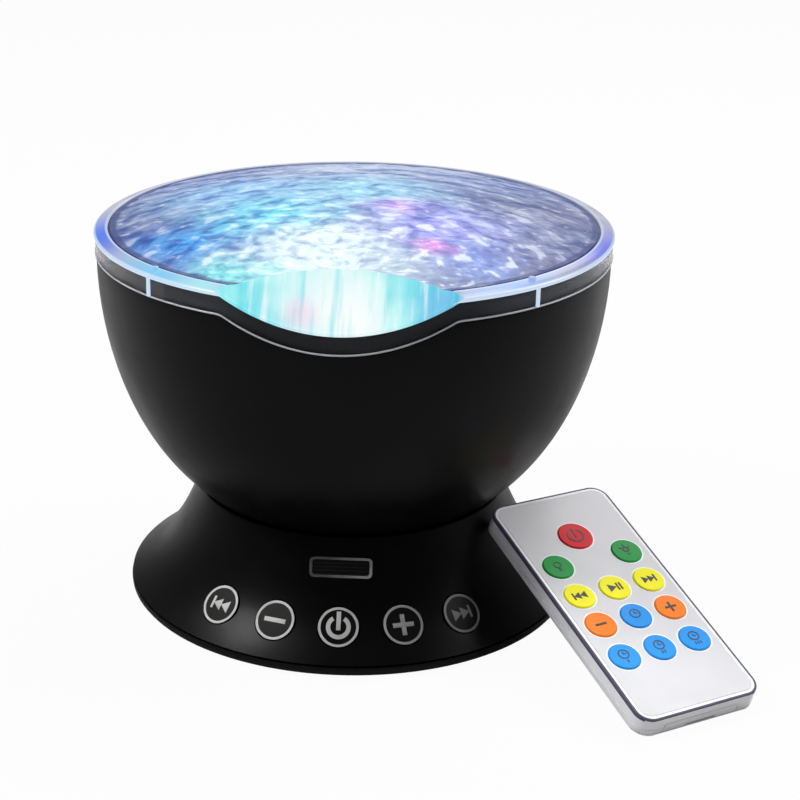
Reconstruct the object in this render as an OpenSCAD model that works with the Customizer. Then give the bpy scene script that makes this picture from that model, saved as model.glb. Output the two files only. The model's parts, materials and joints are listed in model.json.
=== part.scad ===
// Ocean wave projector: a tilting lamp bowl on a flared foot, with its card remote.
// Millimetres, +Z up. The origin is the centre of the foot on the table; the keys face -Y.

/* [Bowl] */
// Outer radius of the bowl at its rim
rim_r = 74.7; // [68:0.1:84]
// Height of the bowl's rim above the table
rim_z = 106.3; // [100:0.5:114]
// Vertical half-axis of the oval that the bowl's side follows
bowl_b = 92.5; // [86:0.5:100]
// Wall of the bowl
bowl_wall = 2.4; // [1.8:0.1:3.2]
// Height of the axis that the bowl tilts about
tilt_z = 90; // [86:0.5:94]
// Tilt of the bowl towards the keys, in degrees
tilt_max = 34; // [20:1:34]

/* [Clear cover] */
// Height of the clear collar between the bowl and the edge of the dome
collar_h = 6.2; // [5:0.1:7]
// Width of the ledge between the collar and the dome
ledge_w = 3.4; // [2.6:0.1:4.2]
// Rise of that ledge
ledge_rise = 1.4; // [1:0.1:2]
// Rise of the dome above its edge
dome_h = 7.4; // [6:0.2:10]
// Wall of the clear cover
cover_wall = 2; // [1.6:0.1:3]
// Drop of the lip at the front of the rim
lip_drop = 8; // [6:0.2:9]
// Radius of the hollow that forms the lip
lip_r = 165; // [130:5:200]
// Slope of the lip, in degrees
lip_slope = 34; // [28:0.5:38]
// Bearing of the four snap ribs from the front and the rear, in degrees
snap_az = 43.4; // [38:0.2:50]

/* [Foot] */
// Largest radius of the foot
foot_r = 67.8; // [64:0.2:74]
// Radius of the foot's neck at the top
neck_r = 46.5; // [46:0.1:48]
// Height of the neck's top edge
neck_z = 34.0; // [33:0.2:35]
// Wall of the foot
foot_wall = 2.4; // [1.8:0.1:3]
// Height of the parting line between the foot and its bottom plate
part_z = 3.8; // [3.4:0.1:4.6]
// Thickness of the bottom plate's floor
plate_t = 2.2; // [1.6:0.1:3]
// Gap between the bowl and its seat
seat_gap = 0.3; // [0.2:0.05:0.6]

/* [Foot keys] */
// Radius of a key's cap
key_r = 5.9; // [5:0.1:6.2]
// Gap around a key's cap
key_gap = 0.3; // [0.2:0.05:0.5]
// Height of the keys' centres above the table
key_z = 11.8; // [11.6:0.1:13]
// Angle from one key to the next, in degrees
key_step = 18; // [16:0.5:20]
// Travel of a key
key_travel = 0.8; // [0.5:0.1:1]

/* [Infrared window] */
// Width of the window
win_w = 17.8; // [14:0.2:20]
// Height of the window
win_h = 5.8; // [4.6:0.2:6.4]
// Height of the window's centre above the table
win_z = 26.1; // [25.2:0.1:26.8]

/* [Lamp] */
// Height of the lamp deck's upper face
deck_z = 90.4; // [89:0.2:92]
// Thickness of the lamp deck
deck_t = 2.4; // [2:0.1:3]
// Radius of the wave disc
disc_r = 58; // [52:0.5:60]
// Thickness of the wave disc
disc_t = 2.4; // [2:0.1:3]
// Distance of the lamp's centre line in front of the bowl's centre line
lamp_y = 29; // [28:0.5:31]
// Radius of the light opening in the deck
lamp_r = 17; // [14:0.5:18]
// Radius of the disc's axle
axle_r = 1.5; // [1.2:0.1:2]
// Depth of the reflector cup
lamp_h = 17.9; // [15:0.1:20]
// Radius of the motor's gearbox
gearbox_r = 11.4; // [10.4:0.1:12]
// Height of the motor's gearbox
gearbox_h = 9; // [7:0.5:11]
// Radius of the motor's can
motor_r = 9; // [7:0.2:10]
// Height of the motor's can
motor_h = 10; // [8:0.5:14]
// Module of the gears
gear_m = 0.8; // [0.7:0.05:0.9]
// Teeth of the wave disc's gear
disc_teeth = 36; // [30:1:38]
// Teeth of the motor's pinion
pinion_teeth = 12; // [10:1:14]

/* [Speaker and sockets] */
// Radius of the speaker
spk_r = 18; // [15:0.5:19]
// Height of the speaker's basket
spk_h = 5.4; // [4.8:0.1:6.4]
// Width of the main board
board_w = 44; // [38:1:48]
// Width of the recess around the sockets
bay_w = 38; // [34:1:42]

/* [Remote] */
// Width of the remote
rc_w = 40; // [38:0.5:44]
// Length of the remote
rc_l = 86; // [82:0.5:92]
// Thickness of the remote
rc_t = 6.5; // [6.2:0.1:7.5]
// Corner radius of the remote
rc_corner = 5; // [3:0.5:7]
// Radius of the remote's coloured keys
rc_key_r = 4.6; // [4:0.1:5]
// Radius of the remote's red power key
rc_power_r = 5.25; // [4.6:0.1:5.6]
// Travel of a remote key
rc_travel = 0.3; // [0.2:0.05:0.4]
// Radius of the button cell
cell_r = 10; // [8:0.5:10.5]
// Bearing from the front at which a corner of the remote leans on the foot, in degrees
rc_bearing = 61; // [54:1:66]
// Turn of the remote on the table, in degrees
rc_turn = 31; // [24:1:38]
// Slope of the leaning remote, in degrees
rc_lean = 20; // [16:0.5:21]

/* [Hidden] */
$fn = 96;
eps = 0.01;
edge_gap = 0.15;
tilt_R = sqrt(pow(neck_r - 1.1, 2) + pow(tilt_z - neck_z - 0.4, 2));
bowl_zc = rim_z - 1.3;
bowl_ease = 7;
seat_R = tilt_R + seat_gap;
pole_z = tilt_z - seat_R;
meet_z = neck_z + 1.2;
meet_a = acos((tilt_z - meet_z) / tilt_R);
skirt_z = rim_z - 10.5;
skirt_r = bowl_side(bowl_wall, skirt_z, skirt_z, 1)[0][0] - edge_gap;
deck_r = bowl_r(deck_z - deck_t) - bowl_wall - 0.5;
boss_r = 3.6;
boss_at = rim_r - 10;
post_at = 21;
gear_c = gear_m * (disc_teeth + pinion_teeth) / 2;
disc_z = deck_z + 4.6;
gear_z = deck_z + 1.2;
gear_t = 2.8;
cap_h = 3.5;
flange_w = 0.8;
flange_t = 0.6;
stem_at = 5.8;
key_back = 8.4;
key_board_low = 3.2;
lamp_z = deck_z - deck_t - lamp_h;
led_board_t = 1.6;
slot_r = 3.3;
win_gap = 0.15;
stand_h = 0.7;
floor_z = stand_h + plate_t;
screw_az = [70, -70, 115, -115];
screw_at = foot_r - 13.2;
screw_z = floor_z - 0.1;
plate_boss_z = floor_z + 1.6;
foot_az = [40, -40, 142, -142];
foot_at = foot_r - 12.2;
spk_pos = [33.2 - foot_r, -2];
bay_y = foot_r - 10.6;
board_y0 = bay_y - 33.2;
board_y1 = bay_y - 6.4;
board_z = floor_z + 2;
rc_col = 11.8;
rc_rows = [17.9, 27.7, 39.7, 51.1, 63.5];
rc_edge = 0.6;
rc_floor = 0.8;
rc_top = 1;
rc_drawer_w = 2 * cell_r + 4;
rc_drawer_l = 2 * cell_r + 5;
rc_board_z = 4.0;
rc_board_t = 0.8;
dome_rise = rc_travel - 0.04;
dome_step = 0.15;

// The bowl's outside is a ball where it slides in the foot, and above that an oval,
// eased so that the two meet
function oval_r(z) = rim_r * sqrt(max(0.01, 1 - pow((bowl_zc - z) / bowl_b, 2)));
function ball_r(z) = sqrt(max(0, pow(tilt_R, 2) - pow(tilt_z - z, 2)));
function bowl_r(z) = oval_r(z) + (ball_r(meet_z) - oval_r(meet_z))
    * pow((bowl_zc - z) / (bowl_zc - meet_z), bowl_ease);
function bowl_slope(z) = bowl_r(z + 0.5) - bowl_r(z - 0.5);
function bowl_side(d, z0, z1, n) =
    [for (i = [0 : n]) let (z = z0 + (z1 - z0) * i / n, s = bowl_slope(z))
        [bowl_r(z), z] - d / norm([1, s]) * [1, -s]];
function ball_arc(r, a0, a1, n) =
    [for (i = [0 : n]) let (a = a0 + (a1 - a0) * i / n)
        [r * sin(a), tilt_z - r * cos(a)]];

// The foot's flank is one cubic curve from the parting line to the neck
flank = [[foot_r - 0.3, part_z + 0.5], [foot_r - 12.3, part_z + 8.8],
    [neck_r + 5.7, neck_z - 13.5], [neck_r, neck_z - 0.6]];
function bez(t) = pow(1 - t, 3) * flank[0] + 3 * t * pow(1 - t, 2) * flank[1]
    + 3 * t * t * (1 - t) * flank[2] + pow(t, 3) * flank[3];
function bez_d(t) = 3 * pow(1 - t, 2) * (flank[1] - flank[0])
    + 6 * t * (1 - t) * (flank[2] - flank[1]) + 3 * t * t * (flank[3] - flank[2]);
function bez_n(t) = let (d = bez_d(t)) [d[1], -d[0]] / norm(d);
function t_at(z, lo = 0, hi = 1, n = 20) = n == 0 ? (lo + hi) / 2
    : bez((lo + hi) / 2)[1] < z ? t_at(z, (lo + hi) / 2, hi, n - 1)
    : t_at(z, lo, (lo + hi) / 2, n - 1);
function flank_pts(d, n) = [for (i = [0 : n]) bez(i / n) - d * bez_n(i / n)];
function lean_at(z) = let (m = bez_n(t_at(z))) atan2(m[1], m[0]);

// Puts children on the foot's flank at height z and bearing az, +Z outwards
module on_flank(z, az) {
    p = bez(t_at(z));
    rotate([0, 0, az - 90])
        translate([p[0], 0, p[1]])
            rotate([0, 90 - lean_at(z), 0])
                rotate([0, 0, 90]) children();
}

module ring_of(list, r, z = 0) {
    for (a = list) rotate([0, 0, a - 90]) translate([r, 0, z]) children();
}

module tube(ro, ri, h) {
    difference() {
        cylinder(r = ro, h = h);
        translate([0, 0, -1]) cylinder(r = ri, h = h + 2);
    }
}

module slab(w, l, h, r) {
    linear_extrude(height = h) round_rect(w, l, r);
}

module round_rect(w, l, r) {
    square([w - 2 * r, l], center = true);
    square([w, l - 2 * r], center = true);
    for (x = [-1, 1], y = [-1, 1])
        translate([x * (w / 2 - r), y * (l / 2 - r)]) circle(r = r, $fn = 48);
}

// The sloping hollow that forms the lip of the rim, moved by dz
module lip_hollow(dz) {
    translate([0, -rim_r, rim_z + collar_h - lip_drop + dz])
        rotate([lip_slope, 0, 0])
            translate([0, -20, lip_r])
                rotate([-90, 0, 0]) cylinder(r = lip_r, h = rim_r + 15, $fn = 180);
}

// Everything under the rim's edge, with the dip at the front
module under_edge(up) {
    difference() {
        cylinder(r = rim_r + 10, h = rim_z + up);
        lip_hollow(up - collar_h);
    }
}

module bowl_shell() {
    color([0.03, 0.03, 0.035]) difference() {
        union() {
            intersection() {
                difference() {
                    bowl_solid(0);
                    bowl_hollow();
                }
                under_edge(0);
            }
            deck_bosses();
        }
        tilt_slot();
        for (a = [45, 135, 225, 315])
            ring_of([a], boss_at, deck_z - deck_t - 12) cylinder(r = 1.25, h = 20, $fn = 32);
    }
}

module bowl_solid(d) {
    rotate_extrude()
        polygon(concat([[0, tilt_z - tilt_R + d]], ball_arc(tilt_R - d, 3, meet_a, 12),
            bowl_side(d, meet_z + 2, rim_z, 22), [[0, rim_z]]));
}

module bowl_hollow() {
    rotate_extrude()
        polygon(concat([[0, tilt_z - tilt_R + bowl_wall]],
            ball_arc(tilt_R - bowl_wall, 3, meet_a, 12),
            bowl_side(bowl_wall, meet_z + 2, rim_z, 22),
            [[rim_r - bowl_wall, rim_z + 1], [0, rim_z + 1]]));
}

module deck_bosses() {
    intersection() {
        bowl_solid(1);
        ring_of([45, 135, 225, 315], boss_at, 60) union() {
            cylinder(r = boss_r, h = deck_z - deck_t - 60, $fn = 48);
            translate([0, -0.8, 0]) cube([12, 1.6, deck_z - deck_t - 64]);
        }
    }
}

// The slot that lets the bowl slide over the clamp, from its rest to full tilt
module tilt_slot() {
    slack_a = asin((slot_r + 0.3) / (tilt_R - bowl_wall));
    mirror([0, 1, 0]) translate([0, 0, tilt_z]) rotate([0, 90, 0])
        rotate([0, 0, -slack_a]) translate([0, 0, -slot_r])
            rotate_extrude(angle = tilt_max + 2 * slack_a)
                translate([tilt_R - 8, 0]) square([16, 2 * slot_r]);
}

collar_top = rim_z + collar_h;
ledge_r = rim_r - ledge_w;
ledge_top = collar_top + ledge_rise;
groove_z = ledge_top - 0.6;
dome_edge_z = ledge_top - 0.1;
dome_edge_r = ledge_r - 0.7;
dome_R = (pow(dome_edge_r, 2) + pow(dome_h, 2)) / (2 * dome_h);

// Points along the dome's arc, d inside its outer face, from radius r to the middle
function dome_arc(d, r, n) =
    [for (i = [0 : n]) let (x = r * (1 - i / n))
        [x, dome_edge_z + dome_h - dome_R + sqrt(pow(dome_R - d, 2) - x * x)]];

module cover_solid() {
    rotate_extrude() polygon(concat([[0, skirt_z], [rim_r + 0.2, skirt_z],
        [rim_r + 0.2, collar_top - 1.2], [rim_r + 0.6, collar_top - 0.6],
        [rim_r + 0.6, collar_top], [rim_r + 0.2, collar_top + 0.4],
        [ledge_r + 0.5, ledge_top], [ledge_r, ledge_top - 0.2], [ledge_r, groove_z],
        [dome_edge_r, groove_z]], dome_arc(0, dome_edge_r, 18)));
}

module cover_hollow() {
    difference() {
        rotate_extrude() polygon(concat([[0, skirt_z - 1], [skirt_r - cover_wall, skirt_z - 1]],
            dome_arc(cover_wall, skirt_r - cover_wall, 18)));
        lip_hollow(-cover_wall / cos(lip_slope));
    }
}

// The bowl's own wall, which the collar stands on and the skirt slips into
module bowl_wall_room() {
    difference() {
        under_edge(edge_gap);
        cylinder(r = skirt_r, h = 200);
    }
}

module ripple_cover() {
    color([0.72, 0.82, 0.95, 0.55]) union() {
        difference() {
            cover_solid();
            bowl_wall_room();
            lip_hollow(0);
            cover_hollow();
        }
        for (a = [snap_az, -snap_az, 180 - snap_az, snap_az - 180]) snap_rib(a);
        for (a = [snap_az, -snap_az]) ring_of([a], rim_r - 2, collar_top - 0.4)
            cylinder(r = 1, h = 2.4, $fn = 32);
    }
}

module snap_rib(a) {
    ring_of([a], rim_r - 0.4, rim_z + edge_gap + 0.2) translate([0, -0.65, 0])
        cube([1.3, 1.3, collar_h + 0.1]);
}

module lamp_deck() {
    color([0.05, 0.05, 0.06]) difference() {
        union() {
            translate([0, 0, deck_z - deck_t]) cylinder(r = deck_r, h = deck_t);
            translate([0, 0, deck_z - deck_t - 6])
                cylinder(r = axle_r + 2.5, h = 6 + deck_t + 0.8, $fn = 48);
            ring_of([45, 135, 225, 315], boss_at, deck_z - 0.1)
                cylinder(r = boss_r + 0.6, h = 0.9, $fn = 48);
            lamp_posts();
            for (a = [0 : 30 : 330]) rotate([0, 0, a])
                translate([deck_r - 5, -0.6, deck_z - 0.1]) cube([4, 1.2, 1.6]);
        }
        translate([0, -lamp_y, deck_z - 20]) cylinder(r = lamp_r, h = 30);
        translate([0, gear_c, deck_z - 20]) cylinder(r = 4, h = 30, $fn = 48);
        for (x = [-1, 1]) translate([x * 15, gear_c, deck_z - 20])
            cylinder(r = 1.6, h = 30, $fn = 32);
        translate([0, 0, deck_z - 20]) cylinder(r = axle_r + 0.01, h = 30, $fn = 48);
        ring_of([45, 135, 225, 315], boss_at, deck_z - 20)
            cylinder(r = 1.65, h = 30, $fn = 32);
    }
}

module lamp_posts() {
    for (a = [0, 120, 240])
        translate([0, -lamp_y, 0]) rotate([0, 0, a + 90]) translate([post_at, 0, 0])
            difference() {
                translate([0, 0, lamp_z]) cylinder(r = 2.6, h = lamp_h + 0.1, $fn = 48);
                translate([0, 0, lamp_z - 0.6]) cylinder(r = 0.9, h = 8, $fn = 32);
            }
}

module pan_screw(r, l, head = 1.9) {
    difference() {
        union() {
            translate([0, 0, -l]) cylinder(r = r, h = l + 0.1, $fn = 32);
            translate([0, 0, 0]) cylinder(r = r * head, h = r * 0.9, $fn = 40);
            translate([0, 0, r * 0.9 - eps]) cylinder(r1 = r * head, r2 = r * 1.3, h = r * 0.4, $fn = 40);
        }
        for (a = [0, 90]) rotate([0, 0, a])
            translate([-r * 1.1, -r * 0.18, r * 0.45]) cube([r * 2.2, r * 0.36, r]);
    }
}

module deck_screws() {
    color([0.7, 0.7, 0.72])
        ring_of([45, 135, 225, 315], boss_at, deck_z + 0.8) pan_screw(1.5, 11);
}

module led_board() {
    color([0.92, 0.93, 0.9]) translate([0, -lamp_y, lamp_z - led_board_t])
        difference() {
            union() {
                cylinder(r = post_at + 3, h = led_board_t);
                translate([-6, post_at - 1, 0]) cube([12, 10, led_board_t]);
            }
            for (a = [0, 120, 240]) rotate([0, 0, a + 90]) translate([post_at, 0, -1])
                cylinder(r = 1.2, h = 4, $fn = 32);
        }
}

module leds() {
    for (i = [0 : 3]) color([0.95, 0.95, 0.8]) translate([0, -lamp_y, lamp_z])
        rotate([0, 0, 45 + 90 * i]) translate([5.2, 0, 0]) union() {
            translate([-1.9, -1.9, 0]) cube([3.8, 3.8, 1]);
            translate([0, 0, 1 - eps]) intersection() {
                translate([0, 0, -0.6]) sphere(r = 1.7, $fn = 48);
                cylinder(r = 3, h = 3);
            }
        }
}

module led_board_screws() {
    color([0.7, 0.7, 0.72]) for (a = [0, 120, 240])
        translate([0, -lamp_y, lamp_z - led_board_t]) rotate([0, 0, a + 90])
            translate([post_at, 0, 0]) rotate([180, 0, 0]) pan_screw(1, 7);
}

module reflector_cup() {
    color([0.9, 0.9, 0.9]) translate([0, -lamp_y, lamp_z]) rotate_extrude()
        polygon([[9.2, 0], [10.4, 0], [lamp_r + 0.6, lamp_h - 1.2],
            [lamp_r + 1.2, lamp_h - 1.2], [lamp_r + 1.2, lamp_h], [lamp_r - 0.6, lamp_h]]);
}

module gear_motor() {
    color([0.62, 0.63, 0.66]) translate([0, gear_c, deck_z - deck_t]) difference() {
        union() {
            translate([0, 0, -gearbox_h]) cylinder(r = gearbox_r, h = gearbox_h);
            translate([0, 0, -gearbox_h - motor_h]) cylinder(r = motor_r, h = motor_h + 0.2);
            translate([0, 0, -gearbox_h - motor_h - 1.2]) cylinder(r = 3, h = 1.4, $fn = 48);
            translate([0, 0, -eps]) cylinder(r = 3.4, h = deck_t + 0.2, $fn = 48);
            intersection() {
                translate([0, 0, -1.2]) slab(38, 9, 1.2, 4.4);
                translate([0, 0, -2]) cylinder(r = 19, h = 3);
            }
            for (x = [-2.5, 2.5]) translate([x - 0.9, -motor_r - 1.6, 2 - gearbox_h - motor_h])
                cube([1.8, 2.4, 4]);
        }
        for (x = [-15, 15]) translate([x, 0, -3]) cylinder(r = 1.2, h = 5, $fn = 32);
    }
}

module motor_screws() {
    color([0.7, 0.7, 0.72]) for (x = [-15, 15])
        translate([x, gear_c, deck_z]) pan_screw(1.2, 5.2);
}

// Outline of a gear with straight-flanked teeth, trimmed by half the backlash
function gear_pts(n, m, slack) = let (rp = n * m / 2, w = 360 / n)
    [for (i = [0 : n - 1], k = [0 : 3]) let (
        r = k == 0 || k == 3 ? rp - 1.2 * m : rp + 0.95 * m,
        a = [-0.40, -0.13, 0.13, 0.40][k] * w,
        s = (k < 2 ? slack : -slack) / rp * 57.3)
        [r * cos(i * w + a + s), r * sin(i * w + a + s)]];

module disc_gear() {
    color([0.93, 0.93, 0.9]) translate([0, 0, gear_z]) difference() {
        linear_extrude(height = gear_t) gear_2d(disc_teeth);
        translate([0, 0, -1]) cylinder(r = hub_r, h = gear_t + 2, $fn = 64);
        for (a = [0 : 60 : 300]) rotate([0, 0, a]) translate([8.6, 0, -1])
            cylinder(r = 2, h = gear_t + 2, $fn = 32);
    }
}

hub_r = axle_r + 2.6;

module gear_2d(n) {
    polygon(gear_pts(n, gear_m, 0.06));
}

module motor_pinion() {
    color([0.93, 0.93, 0.9]) translate([0, gear_c, gear_z]) difference() {
        union() {
            linear_extrude(height = gear_t) rotate([0, 0, 90 + 180 / pinion_teeth * (pinion_teeth % 2)])
                rotate([0, 0, mesh_turn]) gear_2d(pinion_teeth);
            translate([0, 0, -1.2 + 0.25]) cylinder(r = 2.2, h = 1.4, $fn = 40);
        }
        translate([0, 0, gear_t - 0.8]) cylinder(r = 0.9, h = 2, $fn = 32);
    }
}

// A tooth of the disc gear points at the pinion when the count divides by four
mesh_turn = 180 / pinion_teeth + (90 - 360 / disc_teeth * round(90 / (360 / disc_teeth)))
    * disc_teeth / pinion_teeth;

module wave_disc() {
    color([0.8, 0.88, 0.96, 0.6]) difference() {
        union() {
            translate([0, 0, disc_z]) cylinder(r = disc_r, h = disc_t);
            translate([0, 0, gear_z - 0.2]) cylinder(r = hub_r, h = disc_z - gear_z + 1, $fn = 64);
            translate([0, 0, disc_z]) cylinder(r = hub_r + 1.5, h = disc_t + 1.2, $fn = 64);
            wave_lobes();
        }
        translate([0, 0, gear_z - 5]) cylinder(r = axle_r + 0.06, h = 30, $fn = 64);
    }
}

// Shallow lens bumps in three rings, staggered from ring to ring
module wave_lobes() {
    for (k = [0 : 2], i = [0 : 6 + 5 * k])
        rotate([0, 0, 360 / (7 + 5 * k) * i + 13 * k])
            translate([disc_r * (0.32 + 0.27 * k), 0, disc_z + disc_t - 16.6])
                intersection() {
                    sphere(r = 17.6, $fn = 96);
                    translate([0, 0, 15.6]) cylinder(r = 5.4, h = 6, $fn = 48);
                }
}

module disc_axle() {
    color([0.75, 0.75, 0.78]) difference() {
        translate([0, 0, deck_z - deck_t - 6])
            cylinder(r = axle_r, h = disc_z + disc_t + 3.2 - (deck_z - deck_t - 6), $fn = 48);
        translate([0, 0, disc_z + disc_t + 1.5]) tube(axle_r + 1, axle_r - 0.35, 0.7);
    }
}

module axle_clip() {
    color([0.55, 0.56, 0.6]) translate([0, 0, disc_z + disc_t + 1.55]) difference() {
        cylinder(r = axle_r + 2, h = 0.6, $fn = 48);
        translate([0, 0, -1]) cylinder(r = axle_r - 0.34, h = 3, $fn = 48);
        translate([-axle_r * 0.62, 0, -1]) cube([axle_r * 1.24, 6, 3]);
    }
}

module tilt_saddle() {
    color([0.2, 0.2, 0.22]) difference() {
        union() {
            intersection() {
                translate([0, 0, tilt_z]) sphere(r = tilt_R - bowl_wall - seat_gap, $fn = 180);
                translate([0, 0, pole_z + 1]) cylinder(r = 8, h = 6.4);
            }
            translate([0, 0, pole_z]) cylinder(r = 3, h = 6, $fn = 48);
        }
        translate([0, 0, pole_z - 1]) cylinder(r = 2.1, h = 20, $fn = 48);
    }
}

saddle_top = pole_z + 7.4;

// Two cupped spring washers back to back keep the bowl pressed on its seat
module friction_washers() {
    color([0.6, 0.6, 0.63]) translate([0, 0, saddle_top]) {
        rotate_extrude() polygon([[2.2, 0.7], [5.6, 0], [5.6, 0.6], [2.2, 1.3]]);
        rotate_extrude() polygon([[2.2, 1.3], [5.6, 2], [5.6, 2.6], [2.2, 1.9]]);
    }
}

module tilt_bolt() {
    color([0.7, 0.7, 0.72]) difference() {
        union() {
            translate([0, 0, pole_z - 7]) cylinder(r = 2, h = saddle_top - pole_z + 9.7, $fn = 48);
            translate([0, 0, saddle_top + 2.6]) cylinder(r = 4.2, h = 2.6, $fn = 6);
        }
        translate([0, 0, -1]) cylinder(r = 1.1, h = 60, $fn = 32);
    }
}

module tilt_nut() {
    color([0.72, 0.72, 0.74]) translate([0, 0, pole_z - foot_wall - 0.4 - 3.2]) difference() {
        cylinder(r = 4.04, h = 3.2, $fn = 6);
        translate([0, 0, -1]) cylinder(r = 2.03, h = 6, $fn = 48);
    }
}

module base_shell() {
    color([0.03, 0.03, 0.035]) difference() {
        union() {
            difference() {
                foot_solid();
                foot_hollow();
            }
            intersection() {
                union() {
                    screw_bosses();
                    socket_wall();
                    key_ribs();
                    ir_cradle();
                    translate([0, 0, pole_z - foot_wall - 0.4 - 2.4])
                        cylinder(r = 6.4, h = 5, $fn = 64);
                }
                foot_solid();
            }
        }
        for (i = [-2 : 2]) on_flank(key_z, key_step * i)
            translate([0, 0, -4]) cylinder(r = key_r + key_gap, h = 8, $fn = 64);
        on_flank(win_z, 0) translate([0, 0, -4])
            slab(win_w + 2 * win_gap, win_h + 2 * win_gap, 8, 1);
        socket_bay();
        translate([0, 0, 5]) cylinder(r = 2.25, h = 20, $fn = 48);
        translate([0, 0, pole_z - foot_wall - 0.4 - 2.4 - 1]) cylinder(r = 4.14, h = 3.4, $fn = 6);
        ring_of(screw_az, screw_at, 0) cylinder(r = 1.25, h = 12.6, $fn = 32);
    }
}

module foot_solid() {
    difference() {
        rotate_extrude() polygon(concat([[0, part_z], [foot_r - 1.2, part_z],
            [foot_r - 1.2, part_z + 0.5]], flank_pts(0, 20),
            [[neck_r - 0.25, neck_z - 0.15], [neck_r - 0.7, neck_z], [0, neck_z]]));
        translate([0, 0, tilt_z]) sphere(r = seat_R, $fn = 180);
    }
}

module foot_hollow() {
    difference() {
        rotate_extrude() polygon(concat([[0, part_z - 1], [foot_r - 1.2 - foot_wall, part_z - 1]],
            flank_pts(foot_wall, 20), [[0, neck_z - 0.6]]));
        translate([0, 0, tilt_z]) sphere(r = seat_R + foot_wall, $fn = 180);
        translate([0, 0, neck_z - 2.6]) cylinder(r = neck_r + 30, h = 10);
    }
}

module screw_bosses() {
    ring_of(screw_az, screw_at, plate_boss_z + 0.05) union() {
        cylinder(r = 3.4, h = 16, $fn = 48);
        translate([0, -0.8, 0]) cube([10, 1.6, 16]);
    }
}

module socket_wall() {
    translate([-bay_w / 2 - 2, bay_y - 2.4, part_z]) cube([bay_w + 4, 2.4, 14]);
    for (x = [-1, 1]) translate([x * (bay_w / 2 + 1) - 1, bay_y - 2.4, part_z])
        cube([2, 12, 14]);
}

module socket_bay() {
    translate([-bay_w / 2, bay_y, part_z + 1.4]) cube([bay_w, 20, 7.4]);
    translate([-bay_w / 2 + 4.9, bay_y - 10, board_z + 1.5]) cube([8.2, 20, 3.0]);
    translate([bay_w / 2 - 9, bay_y - 10, board_z + 4.1]) rotate([-90, 0, 0])
        cylinder(r = 3.1, h = 20, $fn = 48);
}

// Webs inside the flank that carry the curved key board
module key_ribs() {
    for (i = [-2.5, -1.5, -0.5, 0.5, 1.5, 2.5]) on_flank(key_z, key_step * i)
        translate([-0.8, -3.4, 0.2 - key_back]) cube([1.6, 6.8, key_back - 1.2]);
}

module ir_cradle() {
    on_flank(win_z - 1.2, 0) for (x = [-1, 1])
        translate([x * 4.4 - 0.6, -2.2, -8.4]) cube([1.2, 4.4, 7.2]);
}

module base_plate() {
    color([0.04, 0.04, 0.045]) difference() {
        union() {
            rotate_extrude() polygon([[0, stand_h], [foot_r - 2.4, stand_h],
                [foot_r - 0.7, stand_h + 0.5], [foot_r - 0.1, stand_h + 1.3],
                [foot_r, part_z - 0.8], [foot_r - 0.2, part_z - 0.15],
                [foot_r - 1.4, part_z - 0.15], [foot_r - 1.4, part_z - 0.5],
                [foot_r - 3.2 - foot_wall, part_z - 0.5],
                [foot_r - 3.2 - foot_wall, floor_z], [0, floor_z]]);
            difference() {
                translate([0, 0, floor_z - 0.1])
                    tube(foot_r - 3.8 - foot_wall, foot_r - 5.2 - foot_wall, 0.8);
                translate([-bay_w / 2 - 3, 40, 0]) cube([bay_w + 6, 40, 20]);
            }
            translate([spk_pos[0], spk_pos[1], floor_z - 0.1])
                tube(spk_r + 1.6, spk_r + 0.2, 3.1);
            ring_of(screw_az, screw_at, stand_h)
                cylinder(r = 4.6, h = plate_boss_z - stand_h, $fn = 48);
            for (x = [-1, 1], y = [board_y0 + 3, board_y1 - 3])
                translate([x * (board_w / 2 - 3), y, floor_z - 0.1])
                    cylinder(r = 2.2, h = board_z - floor_z + 0.1, $fn = 40);
        }
        ring_of(foot_az, foot_at, 0) cylinder(r = 5, h = 1.9);
        ring_of(screw_az, screw_at, 0) union() {
            cylinder(r = 1.65, h = 12, $fn = 32);
            cylinder(r = 3.1, h = screw_z, $fn = 40);
        }
        speaker_holes();
    }
}

module speaker_holes() {
    translate([spk_pos[0], spk_pos[1], 0]) for (k = [0 : 3], i = [0 : max(0, 6 * k - 1)])
        rotate([0, 0, k == 0 ? 0 : 60 / k * i]) translate([4 * k, 0, 0])
            cylinder(r = 1.2, h = 8, $fn = 24);
}

module rubber_feet() {
    color([0.1, 0.1, 0.1]) ring_of(foot_az, foot_at, 0) difference() {
        union() {
            cylinder(r1 = 4.2, r2 = 4.8, h = 0.6);
            translate([0, 0, 0.6 - eps]) cylinder(r = 4.8, h = 1.3);
        }
        translate([0, 0, -1]) cylinder(r = 2.4, h = 1.3, $fn = 48);
    }
}

module base_screws() {
    color([0.7, 0.7, 0.72]) ring_of(screw_az, screw_at, screw_z) rotate([180, 0, 0])
        pan_screw(1.5, 8.6, 1.7);
}

module ir_window() {
    color([0.35, 0.2, 0.25, 0.7]) on_flank(win_z, 0) difference() {
        union() {
            translate([0, 0, -foot_wall - 0.4]) slab(win_w, win_h, foot_wall + 0.6, 0.9);
            translate([0, 0, -foot_wall - 1.2]) slab(win_w + 0.0, win_h, 1, 0.9);
        }
        translate([0, 0, -0.25]) slab(win_w - 1.8, win_h - 1.8, 2, 0.6);
        translate([0, 0, -foot_wall - 2]) slab(win_w - 2.4, win_h - 2.4, 1.5, 0.6);
    }
}

module ir_receiver() {
    color([0.12, 0.12, 0.14]) on_flank(win_z - 1.2, 0) union() {
        translate([-3.8, -2.4, -8.2]) cube([7.6, 4.8, 2.6]);
        translate([0, 0, -5.7]) intersection() {
            sphere(r = 1.9, $fn = 48);
            cylinder(r = 3, h = 3);
        }
        for (x = [-2.2, 0, 2.2]) translate([x - 0.25, -5.4, -7.4]) cube([0.5, 3.2, 0.4]);
    }
}

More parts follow.
